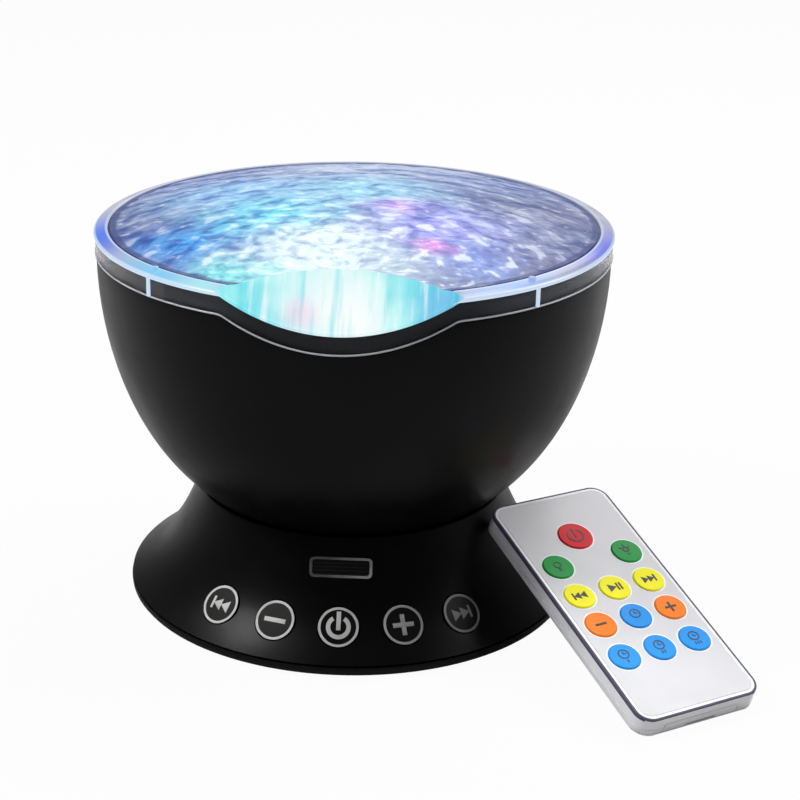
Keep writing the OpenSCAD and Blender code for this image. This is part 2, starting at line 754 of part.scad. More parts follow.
module key_board() {
    lean = lean_at(key_z);
    p = bez(t_at(key_z));
    color([0.75, 0.5, 0.15]) rotate([0, 0, -90 - key_step * 2.5 - 4])
        rotate_extrude(angle = key_step * 5 + 8) translate([p[0], p[1]]) rotate([0, 0, lean])
            translate([-key_back - 0.8, -key_board_low]) square([0.8, key_board_low + 4.2]);
}

module key_switches() {
    color([0.15, 0.15, 0.16]) for (i = [-2 : 2]) on_flank(key_z, key_step * i) difference() {
        translate([-3, -3, 0.06 - key_back]) cube([6, 6, 3.04]);
        translate([0, 0, -stem_at - 0.1 - key_travel]) cylinder(r = 2, h = 5, $fn = 40);
    }
}

// A flush cap with a retaining flange and a stem that plunges into its switch
module foot_key(i) {
    color([0.05, 0.05, 0.055]) on_flank(key_z, key_step * i) {
        translate([0, 0, -cap_h]) cylinder(r = key_r, h = cap_h, $fn = 64);
        translate([0, 0, -eps]) cylinder(r1 = key_r, r2 = key_r - 0.3, h = 0.3, $fn = 64);
        translate([0, 0, -cap_h]) cylinder(r = key_r + flange_w, h = flange_t, $fn = 64);
        translate([0, 0, -stem_at]) cylinder(r = 1.7, h = 2.6, $fn = 40);
    }
}

module key_previous() { foot_key(-2); }
module key_minus() { foot_key(-1); }
module key_power() { foot_key(0); }
module key_plus() { foot_key(1); }
module key_next() { foot_key(2); }

module main_board() {
    color([0.05, 0.35, 0.18]) difference() {
        translate([-board_w / 2, board_y0, board_z]) cube([board_w, board_y1 - board_y0, 1.6]);
        for (x = [-1, 1]) translate([x * (board_w / 2 - 3), board_y0 + 3, 0])
            cylinder(r = 1.1, h = 20, $fn = 32);
    }
}

module board_chips() {
    z = board_z + 1.6;
    color([0.08, 0.08, 0.09]) {
        translate([-5, board_y0 + 6, z]) cube([10, 6, 1.7]);
        for (s = [-1, 1], i = [0 : 6]) translate([-4.4 + i * 1.35, board_y0 + 9 + s * 3.6 - 0.6, z])
            cube([0.5, 1.2, 0.5]);
        translate([-17, board_y0 + 5, z]) cube([6, 5, 1.6]);
        translate([13, board_y0 + 7, z]) cylinder(r = 3.1, h = 6.5, $fn = 48);
        translate([-13, board_y0 + 16, z]) cylinder(r = 2.5, h = 6, $fn = 48);
    }
}

module usb_socket() {
    x = -bay_w / 2 + 9;
    color([0.75, 0.75, 0.77]) translate([x, 0, board_z + 1.6]) difference() {
        translate([-3.9, bay_y - 7.4, 0]) cube([7.8, 6.6, 2.8]);
        translate([-3.4, bay_y - 6, 0.4]) cube([6.8, 8, 2.0]);
    }
    color([0.1, 0.1, 0.1]) translate([x, 0, board_z + 1.6])
        translate([-1.9, bay_y - 6.5, 1.2]) cube([3.8, 4.6, 0.6]);
}

module aux_socket() {
    x = bay_w / 2 - 9;
    color([0.1, 0.1, 0.11]) translate([x, 0, board_z + 1.6]) difference() {
        union() {
            translate([-3.2, bay_y - 14.6, 0]) cube([6.4, 11.2, 5]);
            translate([0, bay_y - 3.6, 2.5]) rotate([-90, 0, 0]) cylinder(r = 2.9, h = 3.4, $fn = 48);
        }
        translate([0, bay_y - 13, 2.5]) rotate([-90, 0, 0]) cylinder(r = 1.8, h = 20, $fn = 48);
    }
}

module speaker_frame() {
    color([0.6, 0.61, 0.63]) translate([spk_pos[0], spk_pos[1], floor_z]) difference() {
        rotate_extrude() polygon([[spk_r - 2.6, 0], [spk_r, 0], [spk_r, 0.9], [spk_r - 2, 0.9],
            [spk_r - 6, spk_h], [spk_r * 0.3, spk_h], [spk_r * 0.3, spk_h - 0.7],
            [spk_r - 6.6, spk_h - 0.7], [spk_r - 2.6, 0.4]]);
        for (a = [0 : 60 : 300]) rotate([0, 0, a + 30]) translate([spk_r - 5, -2.4, 1.4])
            cube([4, 4.8, 3]);
    }
}

module speaker_cone() {
    color([0.12, 0.12, 0.13]) translate([spk_pos[0], spk_pos[1], floor_z]) rotate_extrude()
        polygon([[0, 2.2], [4, 3.1], [4, spk_h - 0.8], [5.2, spk_h - 0.8], [5.2, 3.4],
            [spk_r - 5, 0.8],
            [spk_r - 4, 1.1], [spk_r - 3.2, 0.36], [spk_r - 2.6, 0.36], [spk_r - 2.6, 0.06],
            [spk_r - 3.4, 0.06], [spk_r - 4, 0.7], [spk_r - 4.9, 0.4],
            [5, 2.6], [3.4, 1.9], [0, 1.4]]);
}

module speaker_magnet() {
    color([0.35, 0.35, 0.37]) translate([spk_pos[0], spk_pos[1], floor_z + spk_h]) difference() {
        cylinder(r = spk_r * 0.5, h = 3.4, $fn = 64);
        translate([0, 0, 2.8]) cylinder(r = spk_r * 0.16, h = 2, $fn = 48);
    }
}

// The remote stands with its lower edge on the table and leans one round corner on the
// foot's flank. Its own frame has x across and +y to its infrared end.
rc_foot_y = rc_edge - rc_l / 2;
rc_touch = [rc_corner - rc_w / 2, rc_l / 2 - rc_corner]
    + rc_corner * [-sin(rc_bearing - rc_turn), cos(rc_bearing - rc_turn)];
touch_y = rc_foot_y + (rc_touch[1] - rc_foot_y) * cos(rc_lean);
touch_z = (rc_touch[1] - rc_foot_y) * sin(rc_lean) + rc_edge;
touch_r = bez(t_at(touch_z))[0] + seat_gap;
rc_at = touch_r * [sin(rc_bearing), -cos(rc_bearing)] - turned([rc_touch[0], touch_y], rc_turn);
function turned(p, a) = [p[0] * cos(a) - p[1] * sin(a), p[0] * sin(a) + p[1] * cos(a)];

module at_remote() {
    translate([rc_at[0], rc_at[1], 0]) rotate([0, 0, rc_turn])
        translate([0, rc_foot_y, 0]) rotate([rc_lean, 0, 0])
            translate([0, -rc_foot_y, 0]) children();
}

function key_at(col, row) = [rc_col * col, rc_l / 2 - rc_rows[row]];

module rc_key_holes(r_gap, h, z) {
    translate(concat(key_at(0, 0), [z])) cylinder(r = rc_power_r + r_gap, h = h, $fn = 64);
    for (k = [[-1, 1], [1, 1], [-1, 2], [0, 2], [1, 2], [-1, 3], [0, 3], [1, 3],
            [-1, 4], [0, 4], [1, 4]])
        translate(concat(key_at(k[0], k[1]), [z])) cylinder(r = rc_key_r + r_gap, h = h, $fn = 64);
}

rc_split = 2.6;

module remote_bottom_case() {
    color([0.9, 0.9, 0.91]) at_remote() difference() {
        union() {
            translate([0, 0, rc_edge]) slab(rc_w, rc_l, rc_split - rc_edge, rc_corner);
            slab(rc_w - 2 * rc_edge, rc_l - 2 * rc_edge, rc_edge + 0.1, rc_corner - rc_edge);
        }
        translate([0, 0, rc_floor]) slab(rc_w - 2.8, rc_l - 2.8, 6, rc_corner - 1.4);
        translate([-rc_drawer_w / 2 - 0.15, -rc_l / 2 - 1, rc_floor])
            cube([rc_drawer_w + 0.3, 4, 6]);
        for (i = [-2 : 2]) translate([-6, -rc_l / 2 + 7 + i * 1.6, -0.4]) cube([12, 0.7, 0.7]);
        translate([0, rc_l / 2 + 1, 3.1]) rotate([90, 0, 0]) cylinder(r = 1.6, h = 4, $fn = 40);
    }
    color([0.9, 0.9, 0.91]) at_remote() for (x = [-1, 1])
        translate([x * (rc_drawer_w / 2 + 0.9) - 0.6, -rc_l / 2 + 1.4, rc_floor - 0.05])
            cube([1.2, rc_drawer_l - 2, 2.2]);
}

module remote_top_case() {
    color([0.93, 0.93, 0.94]) at_remote() difference() {
        union() {
            translate([0, 0, rc_split + 0.05]) slab(rc_w, rc_l, rc_t - rc_split - 0.65, rc_corner);
            translate([0, 0, rc_t - 0.7]) slab(rc_w - 1, rc_l - 1, 0.7, rc_corner - 0.5);
        }
        difference() {
            translate([0, 0, -1]) slab(rc_w - 2.8, rc_l - 2.8, rc_t - rc_top + 1, rc_corner - 1.4);
            rc_pillars();
        }
        translate([0, 0, rc_t - 0.35]) slab(rc_w - 3.4, rc_l - 3.4, 2, rc_corner - 1.7);
        translate([-rc_drawer_w / 2 - 0.15, -rc_l / 2 - 1, 0])
            cube([rc_drawer_w + 0.3, 4, 3.9]);
        rc_key_holes(0.2, 10, 2);
        translate([0, rc_l / 2 + 1, 3.1]) rotate([90, 0, 0]) cylinder(r = 1.6, h = 4, $fn = 40);
    }
}

// Pillars under the face that hold the board against its ledge
module rc_pillars() {
    for (x = [-0.5, 0.5], y = [rc_rows[1] + 6, rc_rows[3] + 6.2])
        translate([x * rc_col, rc_l / 2 - y, rc_board_z + rc_board_t])
            cylinder(r = 1.1, h = rc_t, $fn = 32);
    for (x = [-1, 1]) translate([x * (rc_w / 2 - 1.9) - 0.6, -rc_l / 2 + 30, rc_board_z + rc_board_t])
        cube([1.2, rc_l - 46, rc_t]);
}

module remote_face() {
    color([0.82, 0.83, 0.85]) at_remote() difference() {
        translate([0, 0, rc_t - 0.35]) slab(rc_w - 3.6, rc_l - 3.6, 0.4, rc_corner - 1.8);
        rc_key_holes(0.15, 10, 2);
    }
}

module remote_board() {
    color([0.1, 0.4, 0.2]) at_remote() difference() {
        translate([0, 1, rc_board_z]) slab(rc_w - 3.2, rc_l - 7, rc_board_t, 2);
        translate([-3.2, rc_l / 2 - 8, 0]) cube([6.4, 10, 10]);
    }
    color([0.75, 0.75, 0.77]) at_remote() {
        for (x = [-5, 5]) translate([x - 1.2, -rc_l / 2 + cell_r + 1, cell_top])
            cube([2.4, 6, rc_board_z - cell_top + 0.05]);
    }
}

cell_z = rc_floor + 0.35;
cell_top = cell_z + 2.5;

module remote_domes() {
    color([0.78, 0.78, 0.8]) at_remote() {
        rc_dome(key_at(0, 0));
        for (k = [[-1, 1], [1, 1], [-1, 2], [0, 2], [1, 2], [-1, 3], [0, 3], [1, 3],
                [-1, 4], [0, 4], [1, 4]]) rc_dome(key_at(k[0], k[1]));
    }
}

module rc_dome(p) {
    translate([p[0], p[1], rc_board_z + rc_board_t]) {
        cylinder(r1 = 4, r2 = 2.6, h = dome_rise, $fn = 48);
        translate([0, 0, dome_rise - eps]) cylinder(r1 = 2.6, r2 = 1.2, h = dome_step, $fn = 48);
    }
}

module remote_ir_led() {
    color([0.25, 0.22, 0.3]) at_remote() translate([0, 0, 3.1]) {
        translate([0, rc_l / 2 - 6, 0]) rotate([-90, 0, 0]) cylinder(r = 1.5, h = 5.2, $fn = 40);
        translate([0, rc_l / 2 - 0.8, 0]) sphere(r = 1.5, $fn = 40);
        for (x = [-1, 1]) {
            translate([x - 0.25, rc_l / 2 - 9.6, -0.25]) cube([0.5, 3.8, 0.5]);
            translate([x - 0.25, rc_l / 2 - 9.6, -0.25]) cube([0.5, 0.5, 1.2]);
        }
    }
}

module battery_drawer() {
    color([0.88, 0.88, 0.89]) at_remote() difference() {
        union() {
            translate([-rc_drawer_w / 2, -rc_l / 2, rc_floor + 0.1])
                cube([rc_drawer_w, rc_drawer_l, 2.6]);
            translate([-rc_drawer_w / 2, -rc_l / 2, rc_floor + 0.1])
                cube([rc_drawer_w, 1.4, 2.9]);
        }
        translate([0, -rc_l / 2 + cell_r + 2.4, cell_z]) cylinder(r = cell_r + 0.15, h = 6);
        translate([0, -rc_l / 2 + cell_r + 2.4, 0]) cylinder(r = cell_r - 1.4, h = 6);
        translate([-5, -rc_l / 2 - 0.5, rc_floor - 1]) cube([10, 1.1, 2]);
    }
}

module button_cell() {
    color([0.8, 0.8, 0.82]) at_remote() translate([0, -rc_l / 2 + cell_r + 2.4, cell_z]) union() {
        cylinder(r = cell_r, h = 2.1);
        translate([0, 0, 2.1 - eps]) cylinder(r1 = cell_r - 1, r2 = cell_r - 1.4, h = 0.4 + eps);
    }
}

// A round cap with a slightly domed top; its skirt rests on the snap dome
module rc_key(col, row, r, c) {
    p = key_at(col, row);
    z0 = rc_board_z + rc_board_t + dome_rise + dome_step + 0.01;
    color(c) at_remote() translate([p[0], p[1], z0]) {
        cylinder(r = r, h = rc_t + 0.25 - z0, $fn = 64);
        translate([0, 0, rc_t + 0.25 - z0 - eps])
            cylinder(r1 = r, r2 = r - 0.35, h = 0.25, $fn = 64);
    }
}

red = [0.8, 0.1, 0.1];
green = [0.1, 0.6, 0.2];
yellow = [0.95, 0.85, 0.1];
orange = [0.95, 0.5, 0.1];
blue = [0.2, 0.5, 0.85];

module remote_key_power() { rc_key(0, 0, rc_power_r, red); }
module remote_key_lamp_a() { rc_key(-1, 1, rc_key_r, green); }
module remote_key_lamp_b() { rc_key(1, 1, rc_key_r, green); }
module remote_key_previous() { rc_key(-1, 2, rc_key_r, yellow); }
module remote_key_play() { rc_key(0, 2, rc_key_r, yellow); }
module remote_key_next() { rc_key(1, 2, rc_key_r, yellow); }
module remote_key_quieter() { rc_key(-1, 3, rc_key_r, orange); }
module remote_key_clock() { rc_key(0, 3, rc_key_r, blue); }
module remote_key_louder() { rc_key(1, 3, rc_key_r, orange); }
module remote_key_timer_1() { rc_key(-1, 4, rc_key_r, blue); }
module remote_key_timer_2() { rc_key(0, 4, rc_key_r, blue); }
module remote_key_timer_3() { rc_key(1, 4, rc_key_r, blue); }

bowl_shell();
ripple_cover();
lamp_deck();
deck_screws();
led_board();
leds();
led_board_screws();
reflector_cup();
gear_motor();
motor_screws();
motor_pinion();
wave_disc();
disc_gear();
disc_axle();
axle_clip();
tilt_saddle();
tilt_bolt();
tilt_nut();
friction_washers();
base_shell();
base_plate();
rubber_feet();
base_screws();
ir_window();
ir_receiver();
key_board();
key_switches();
key_previous();
key_minus();
key_power();
key_plus();
key_next();
main_board();
board_chips();
usb_socket();
aux_socket();
speaker_frame();
speaker_cone();
speaker_magnet();
remote_top_case();
remote_bottom_case();
remote_face();
remote_board();
remote_domes();
remote_ir_led();
battery_drawer();
button_cell();
remote_key_power();
remote_key_lamp_a();
remote_key_lamp_b();
remote_key_previous();
remote_key_play();
remote_key_next();
remote_key_quieter();
remote_key_clock();
remote_key_louder();
remote_key_timer_1();
remote_key_timer_2();
remote_key_timer_3();
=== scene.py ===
"""Ocean wave projector: finishes, lit cover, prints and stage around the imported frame."""

import json
import math

import bpy
from mathutils import Matrix, Vector


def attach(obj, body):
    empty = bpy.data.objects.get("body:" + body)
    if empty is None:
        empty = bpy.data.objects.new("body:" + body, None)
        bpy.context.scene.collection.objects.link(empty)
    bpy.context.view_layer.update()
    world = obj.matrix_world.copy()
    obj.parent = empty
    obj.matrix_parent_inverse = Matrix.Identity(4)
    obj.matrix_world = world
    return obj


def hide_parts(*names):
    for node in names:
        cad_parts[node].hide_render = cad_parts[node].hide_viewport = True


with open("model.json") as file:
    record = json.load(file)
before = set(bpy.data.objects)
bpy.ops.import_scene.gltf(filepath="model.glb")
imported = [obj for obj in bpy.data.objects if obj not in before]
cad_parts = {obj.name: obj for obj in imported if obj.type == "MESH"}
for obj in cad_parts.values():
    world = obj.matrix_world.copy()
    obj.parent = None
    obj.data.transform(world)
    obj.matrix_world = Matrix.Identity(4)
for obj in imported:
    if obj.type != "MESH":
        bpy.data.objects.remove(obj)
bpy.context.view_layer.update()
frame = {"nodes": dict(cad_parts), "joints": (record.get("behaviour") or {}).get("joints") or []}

bl_info = {
    "name": "Ocean wave projector",
    "version": (1, 0, 0),
    "blender": (4, 5, 0),
    "location": "View3D > Sidebar > Projector",
    "description": "Dresses the packed wave projector with its finishes, lit cover and prints",
    "category": "Object",
}

MM = 0.001

# The source's own values, in millimetres
RIM_R, RIM_Z, BOWL_B, BOWL_WALL, BOWL_EASE = 74.7, 106.3, 92.5, 2.4, 7
TILT_Z, NECK_R, NECK_Z = 90.0, 46.5, 34.0
COLLAR_H, LEDGE_W, LEDGE_RISE, DOME_H = 6.2, 3.4, 1.4, 7.4
LIP_DROP, LIP_R, LIP_SLOPE = 8.0, 165.0, math.radians(34)
SNAP_AZ = 43.4
FOOT_R, FOOT_WALL, PART_Z = 67.8, 2.4, 3.8
WIN_W, WIN_H, WIN_Z = 17.8, 5.8, 26.1
KEY_R, KEY_GAP, KEY_Z, KEY_STEP = 5.9, 0.3, 11.8, 18.0
BAY_W, BAY_Y, BOARD_Z = 38.0, FOOT_R - 10.6, 4.9
RC_W, RC_L, RC_T, RC_CORNER, RC_SPLIT = 40.0, 86.0, 6.5, 5.0, 2.6
RC_COL, RC_ROWS = 11.8, (17.9, 27.7, 39.7, 51.1, 63.5)
RC_KEY_R, RC_POWER_R = 4.6, 5.25
TILT_R = math.hypot(NECK_R - 1.1, TILT_Z - NECK_Z - 0.4)
SEAT_R = TILT_R + 0.3
BOWL_ZC = RIM_Z - 1.3
MEET_Z = NECK_Z + 1.2
MEET_A = math.acos((TILT_Z - MEET_Z) / TILT_R)
EDGE_GAP = 0.15
COLLAR_R = RIM_R + 0.2
COLLAR_TOP = RIM_Z + COLLAR_H
LEDGE_IN = RIM_R - LEDGE_W
LEDGE_TOP = COLLAR_TOP + LEDGE_RISE
DOME_EDGE_R, DOME_EDGE_Z = LEDGE_IN - 0.7, LEDGE_TOP - 0.1
DOME_BALL = (DOME_EDGE_R ** 2 + DOME_H ** 2) / (2 * DOME_H)
FLANK = ((FOOT_R - 0.3, PART_Z + 0.5), (FOOT_R - 12.3, PART_Z + 8.8),
         (NECK_R + 5.7, NECK_Z - 13.5), (NECK_R, NECK_Z - 0.6))

# Openings and walls, in millimetres. A box is x, x, y, y, z, z
CLAMP_SLOT = (-3.3, 3.3, -43.2, 3.6, 12, 36)
BOLT_HOLE_R = 2.25
SOCKET_MOUTH = (-BAY_W / 2, BAY_W / 2, BAY_Y, BAY_Y + 20, PART_Z + 1.4, PART_Z + 8.8)
USB_MOUTH = (4.9 - BAY_W / 2, 13.1 - BAY_W / 2, BAY_Y - 10, BAY_Y + 5, BOARD_Z + 1.5, BOARD_Z + 4.5)
DRAWER_MOUTH = (-12.15, 12.15, -RC_L / 2 - 1, 3 - RC_L / 2, 0, 3.9)
COVER_SKIN = 1.4
KEY_PROUD = 0.3
RC_WALL, RC_RIM, RC_LINE, RC_FACE = 1.4, 1.7, 0.85, 1.8
RC_SINK = 0.35
RC_MARK_Z = RC_T + 0.5

# How finishes vary, and how the floor and the surroundings shine
POLISH_SPREAD = 0.06
BRUSH_DEPTH = 0.00002
FLOOR_SHARE = 0.96
WORLD_FRONT, WORLD_BACK = 0.10, 0.32
LAMP_AIM = (0, 0, 0.06)

# The view that the photograph was taken from
CAMERA_AIM = (-0.0013, 0.0, 0.0514)
CAMERA_DISTANCE = 0.56
CAMERA_ELEVATION = math.radians(21.6)
CAMERA_AZIMUTH = math.radians(3.3)
CAMERA_ROLL = math.radians(0.57)
CAMERA_LENS = 83.08
CAMERA_SHIFT = (0.0652, 0.025)


# ---------------------------------------------------------------- shapes of the bowl and cover

def ball_radius(z):
    return math.sqrt(max(0.0, TILT_R ** 2 - (TILT_Z - z) ** 2))


def oval_radius(z):
    return RIM_R * math.sqrt(max(0.01, 1 - ((BOWL_ZC - z) / BOWL_B) ** 2))


def bowl_radius(z):
    share = max(0.0, (BOWL_ZC - z) / (BOWL_ZC - MEET_Z))
    return oval_radius(z) + (ball_radius(MEET_Z) - oval_radius(MEET_Z)) * share ** BOWL_EASE


def bowl_point(z, inset):
    slope = bowl_radius(z + 0.5) - bowl_radius(z - 0.5)
    length = math.hypot(1, slope)
    return bowl_radius(z) - inset / length, z + inset * slope / length


def lip_height(r, azimuth, drop=0.0):
    """Height of the lip's hollow at a radius and a bearing from the front."""
    x, y = r * math.sin(azimuth), -r * math.cos(azimuth)
    rise = (LIP_R - math.sqrt(max(0.0, LIP_R ** 2 - x * x))) / math.cos(LIP_SLOPE)
    return COLLAR_TOP - LIP_DROP + drop + (y + RIM_R) * math.tan(LIP_SLOPE) + rise


def top_height(r):
    """Height of the cover's top, from the dome out to the collar's edge."""
    if r <= DOME_EDGE_R:
        return DOME_EDGE_Z + DOME_H - DOME_BALL + math.sqrt(DOME_BALL ** 2 - r * r)
    if r <= LEDGE_IN + 0.5:
        return LEDGE_TOP
    return LEDGE_TOP - (LEDGE_RISE - 0.4) * (r - LEDGE_IN - 0.5) / (COLLAR_R - LEDGE_IN - 0.5)


def halved(low, high, beyond):
    """The value between low and high from which beyond(value) holds."""
    for _ in range(40):
        middle = (low + high) / 2
        if beyond(middle):
            high = middle
        else:
            low = middle
    return low


def lip_inner_radius(azimuth):
    """Radius at which the lip's hollow meets the cover's top."""
    if abs(azimuth) > math.radians(50) or lip_height(COLLAR_R, azimuth) > top_height(COLLAR_R):
        return COLLAR_R
    return halved(30.0, COLLAR_R, lambda r: top_height(r) > lip_height(r, azimuth))


def lip_bearing(r, height):
    """Bearing at which the lip's hollow climbs past a height at a radius."""
    return halved(0.0, math.radians(50), lambda a: lip_height(r, a) > height)


CORNER = lip_bearing(COLLAR_R, COLLAR_TOP + 0.4)


def rim_low(azimuth):
    """Height of the bowl's edge, which dips under the lip."""
    return min(RIM_Z, lip_height(RIM_R, azimuth, -COLLAR_H))


# ---------------------------------------------------------------- shapes of the foot

def flank_point(t, inset=0.0):
    """A point of the foot's flank, and the direction it faces, at a share of its curve."""
    weights = ((1 - t) ** 3, 3 * t * (1 - t) ** 2, 3 * t * t * (1 - t), t ** 3)
    slopes = (3 * (1 - t) ** 2, 6 * t * (1 - t), 3 * t * t)
    p = [sum(w * q[k] for w, q in zip(weights, FLANK)) for k in (0, 1)]
    d = [sum(s * (FLANK[i + 1][k] - FLANK[i][k]) for i, s in enumerate(slopes)) for k in (0, 1)]
    size = math.hypot(*d)
    out = (d[1] / size, -d[0] / size)
    return (p[0] - inset * out[0], p[1] - inset * out[1]), out


def on_flank(z, azimuth):
    """Place on the foot's flank: x across, y up the flank and z outwards."""
    (r, height), out = flank_point(halved(0.0, 1.0, lambda t: flank_point(t)[0][1] > z))
    away = Vector((math.sin(azimuth), -math.cos(azimuth), 0))
    normal = away * out[0] + Vector((0, 0, out[1]))
    across = Vector((math.cos(azimuth), math.sin(azimuth), 0))
    place = Matrix((across, normal.cross(across), normal)).transposed().to_4x4()
    place.translation = (away * r + Vector((0, 0, height))) * MM
    return place


# ---------------------------------------------------------------- working on objects

def deselect():
    if bpy.context.object and bpy.context.object.mode != 'OBJECT':
        bpy.ops.object.mode_set(mode='OBJECT')
    bpy.ops.object.select_all(action='DESELECT')


def only(obj):
    deselect()
    obj.select_set(True)
    bpy.context.view_layer.objects.active = obj
    return obj


def edit(obj, *steps):
    """Runs edit-mode steps on one object, each on the whole mesh."""
    only(obj)
    bpy.ops.object.mode_set(mode='EDIT')
    for step in steps:
        bpy.ops.mesh.select_all(action='SELECT')
        step()
    bpy.ops.object.mode_set(mode='OBJECT')


def close_up():
    bpy.ops.mesh.remove_doubles(threshold=0.000002)


def face_out():
    bpy.ops.mesh.normals_make_consistent(inside=False)


def smooth(obj, angle=35):
    only(obj)
    bpy.ops.object.shade_smooth_by_angle(angle=math.radians(angle))


def even_out(obj, angle=30):
    """Smooth shading that large faces lead, so that cut edges leave no smears."""
    smooth(obj, angle)
    modify(obj, 'WEIGHTED_NORMAL', keep_sharp=True, weight=80)


def modify(obj, kind, **settings):
    only(obj)
    modifier = obj.modifiers.new(kind.title(), kind)
    for key, value in settings.items():
        setattr(modifier, key, value)
    bpy.ops.object.modifier_apply(modifier=modifier.name)


def settle(obj):
    """Puts an object's place and turn in its mesh."""
    only(obj)
    bpy.ops.object.transform_apply(location=True, rotation=True, scale=True)
    return obj


def seat(obj, place):
    obj.matrix_world = place
    return settle(obj)


def join(parts, name):
    deselect()
    for part in parts:
        part.select_set(True)
    bpy.context.view_layer.objects.active = parts[0]
    if len(parts) > 1:
        bpy.ops.object.join()
    parts[0].name = parts[0].data.name = name
    return parts[0]


def cut(obj, tools, way='DIFFERENCE'):
    """Cuts the tools out of an object, or adds them to it, and clears them away."""
    tool = join(tools, "tool")
    modify(obj, 'BOOLEAN', operation=way, object=tool, solver='EXACT')
    bpy.data.objects.remove(tool)
    return obj


def dress(obj, body, finish, replaces=()):
    obj.data.materials.clear()
    obj.data.materials.append(FINISHES[finish])
    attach(obj, body)
    if replaces:
        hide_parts(*replaces)
    return obj


def skin_of(node, name, angle=35):
    """A merged, smoothed copy of a CAD node."""
    source = frame["nodes"][node]
    obj = bpy.data.objects.new(name, source.data.copy())
    obj.data.name = name
    bpy.context.scene.collection.objects.link(obj)
    edit(obj, close_up)
    even_out(obj, angle)
    return obj


# ---------------------------------------------------------------- basic solids, in mm

def block(x0, x1, y0, y1, z0, z1):
    deselect()
    bpy.ops.mesh.primitive_cube_add(
        size=1, location=((x0 + x1) / 2 * MM, (y0 + y1) / 2 * MM, (z0 + z1) / 2 * MM))
    obj = bpy.context.object
    obj.scale = ((x1 - x0) * MM, (y1 - y0) * MM, (z1 - z0) * MM)
    return settle(obj)


def drum(r, z0, z1, x=0.0, y=0.0, sides=96, turn=(0, 0, 0)):
    deselect()
    bpy.ops.mesh.primitive_cylinder_add(
        vertices=sides, radius=r * MM, depth=(z1 - z0) * MM,
        location=(x * MM, y * MM, (z0 + z1) / 2 * MM), rotation=turn)
    return settle(bpy.context.object)


def rounded_slab(width, length, corner, z0, z1, round_top=0.0):
    """A slab with round corners and, where asked for, a rounded upper edge."""
    deselect()
    bpy.ops.mesh.primitive_plane_add(size=1, location=(0, 0, z0 * MM))
    obj = bpy.context.object
    obj.scale = (width * MM, length * MM, 1)
    settle(obj)
    edit(obj, lambda: bpy.ops.mesh.bevel(offset=corner * MM, segments=14, affect='VERTICES'),
         lambda: bpy.ops.mesh.extrude_region_move(TRANSFORM_OT_translate={
             "value": (0, 0, (z1 - z0 - round_top) * MM)}))
    if round_top:
        round_upper_edge(obj, round_top)
    edit(obj, face_out)
    return obj


def round_upper_edge(obj, size, steps=4):
    """Insets the topmost face in steps that follow a quarter circle."""
    highest = max(p.center.z for p in obj.data.polygons)
    for polygon in obj.data.polygons:
        polygon.select = polygon.center.z > highest - 1e-7
    for items in (obj.data.edges, obj.data.vertices):
        for item in items:
            item.select = False
    only(obj)
    bpy.ops.object.mode_set(mode='EDIT')
    bpy.ops.mesh.select_mode(type='FACE')
    for i in range(steps):
        a, b = (math.pi / 2 * k / steps for k in (i, i + 1))
        bpy.ops.mesh.inset(thickness=size * (math.cos(a) - math.cos(b)) * MM,
                           depth=size * (math.sin(b) - math.sin(a)) * MM)
    bpy.ops.object.mode_set(mode='OBJECT')


def remote_slab(inset, z0, z1):
    """A slab with the remote's outline, drawn in all round."""
    return rounded_slab(RC_W - 2 * inset, RC_L - 2 * inset, RC_CORNER - inset, z0, z1)


def wrapped(name, columns, rows, place):
    """A grid bent into a skin: place(column share, row number) gives each point in mm."""
    deselect()
    bpy.ops.mesh.primitive_grid_add(x_subdivisions=columns, y_subdivisions=rows, size=1)
    obj = bpy.context.object
    obj.name = obj.data.name = name
    for vertex in obj.data.vertices:
        u = vertex.co.x + 0.5
        row = round((vertex.co.y + 0.5) * rows)
        vertex.co = Vector(place(u, row)) * MM
    edit(obj, close_up, face_out)
    return obj


def ring_skin(name, columns, profile, start=0.0, end=2 * math.pi):
    """A skin round the projector's axis. profile(bearing) gives the same number of points."""
    table = []
    for c in range(columns + 1):
        azimuth = start + (end - start) * c / columns
        table.append([(r * math.sin(azimuth), -r * math.cos(azimuth), z)
                      for r, z in profile(math.remainder(azimuth, 2 * math.pi))])
    return wrapped(name, columns, len(table[0]) - 1, lambda u, row: table[round(u * columns)][row])


def turned(name, points, columns=96):
    """A solid of revolution round its own z axis."""
    return ring_skin(name, columns, lambda azimuth: points)


def tube_profile(r, z, size):
    return [(r + size * math.cos(2 * math.pi * i / 10), z + size * math.sin(2 * math.pi * i / 10))
            for i in range(11)]


# ---------------------------------------------------------------- finishes

def tint(red, green, blue):
    """A colour given as it shows on a screen, 0 to 255."""
    def line(value):
        value /= 255
        return value / 12.92 if value <= 0.04045 else ((value + 0.055) / 1.055) ** 2.4
    return line(red), line(green), line(blue), 1.0


def grey(value):
    return value, value, value, 1.0


def shade(colour, factor):
    return tuple(min(1.0, c * factor) for c in colour[:3]) + (1.0,)


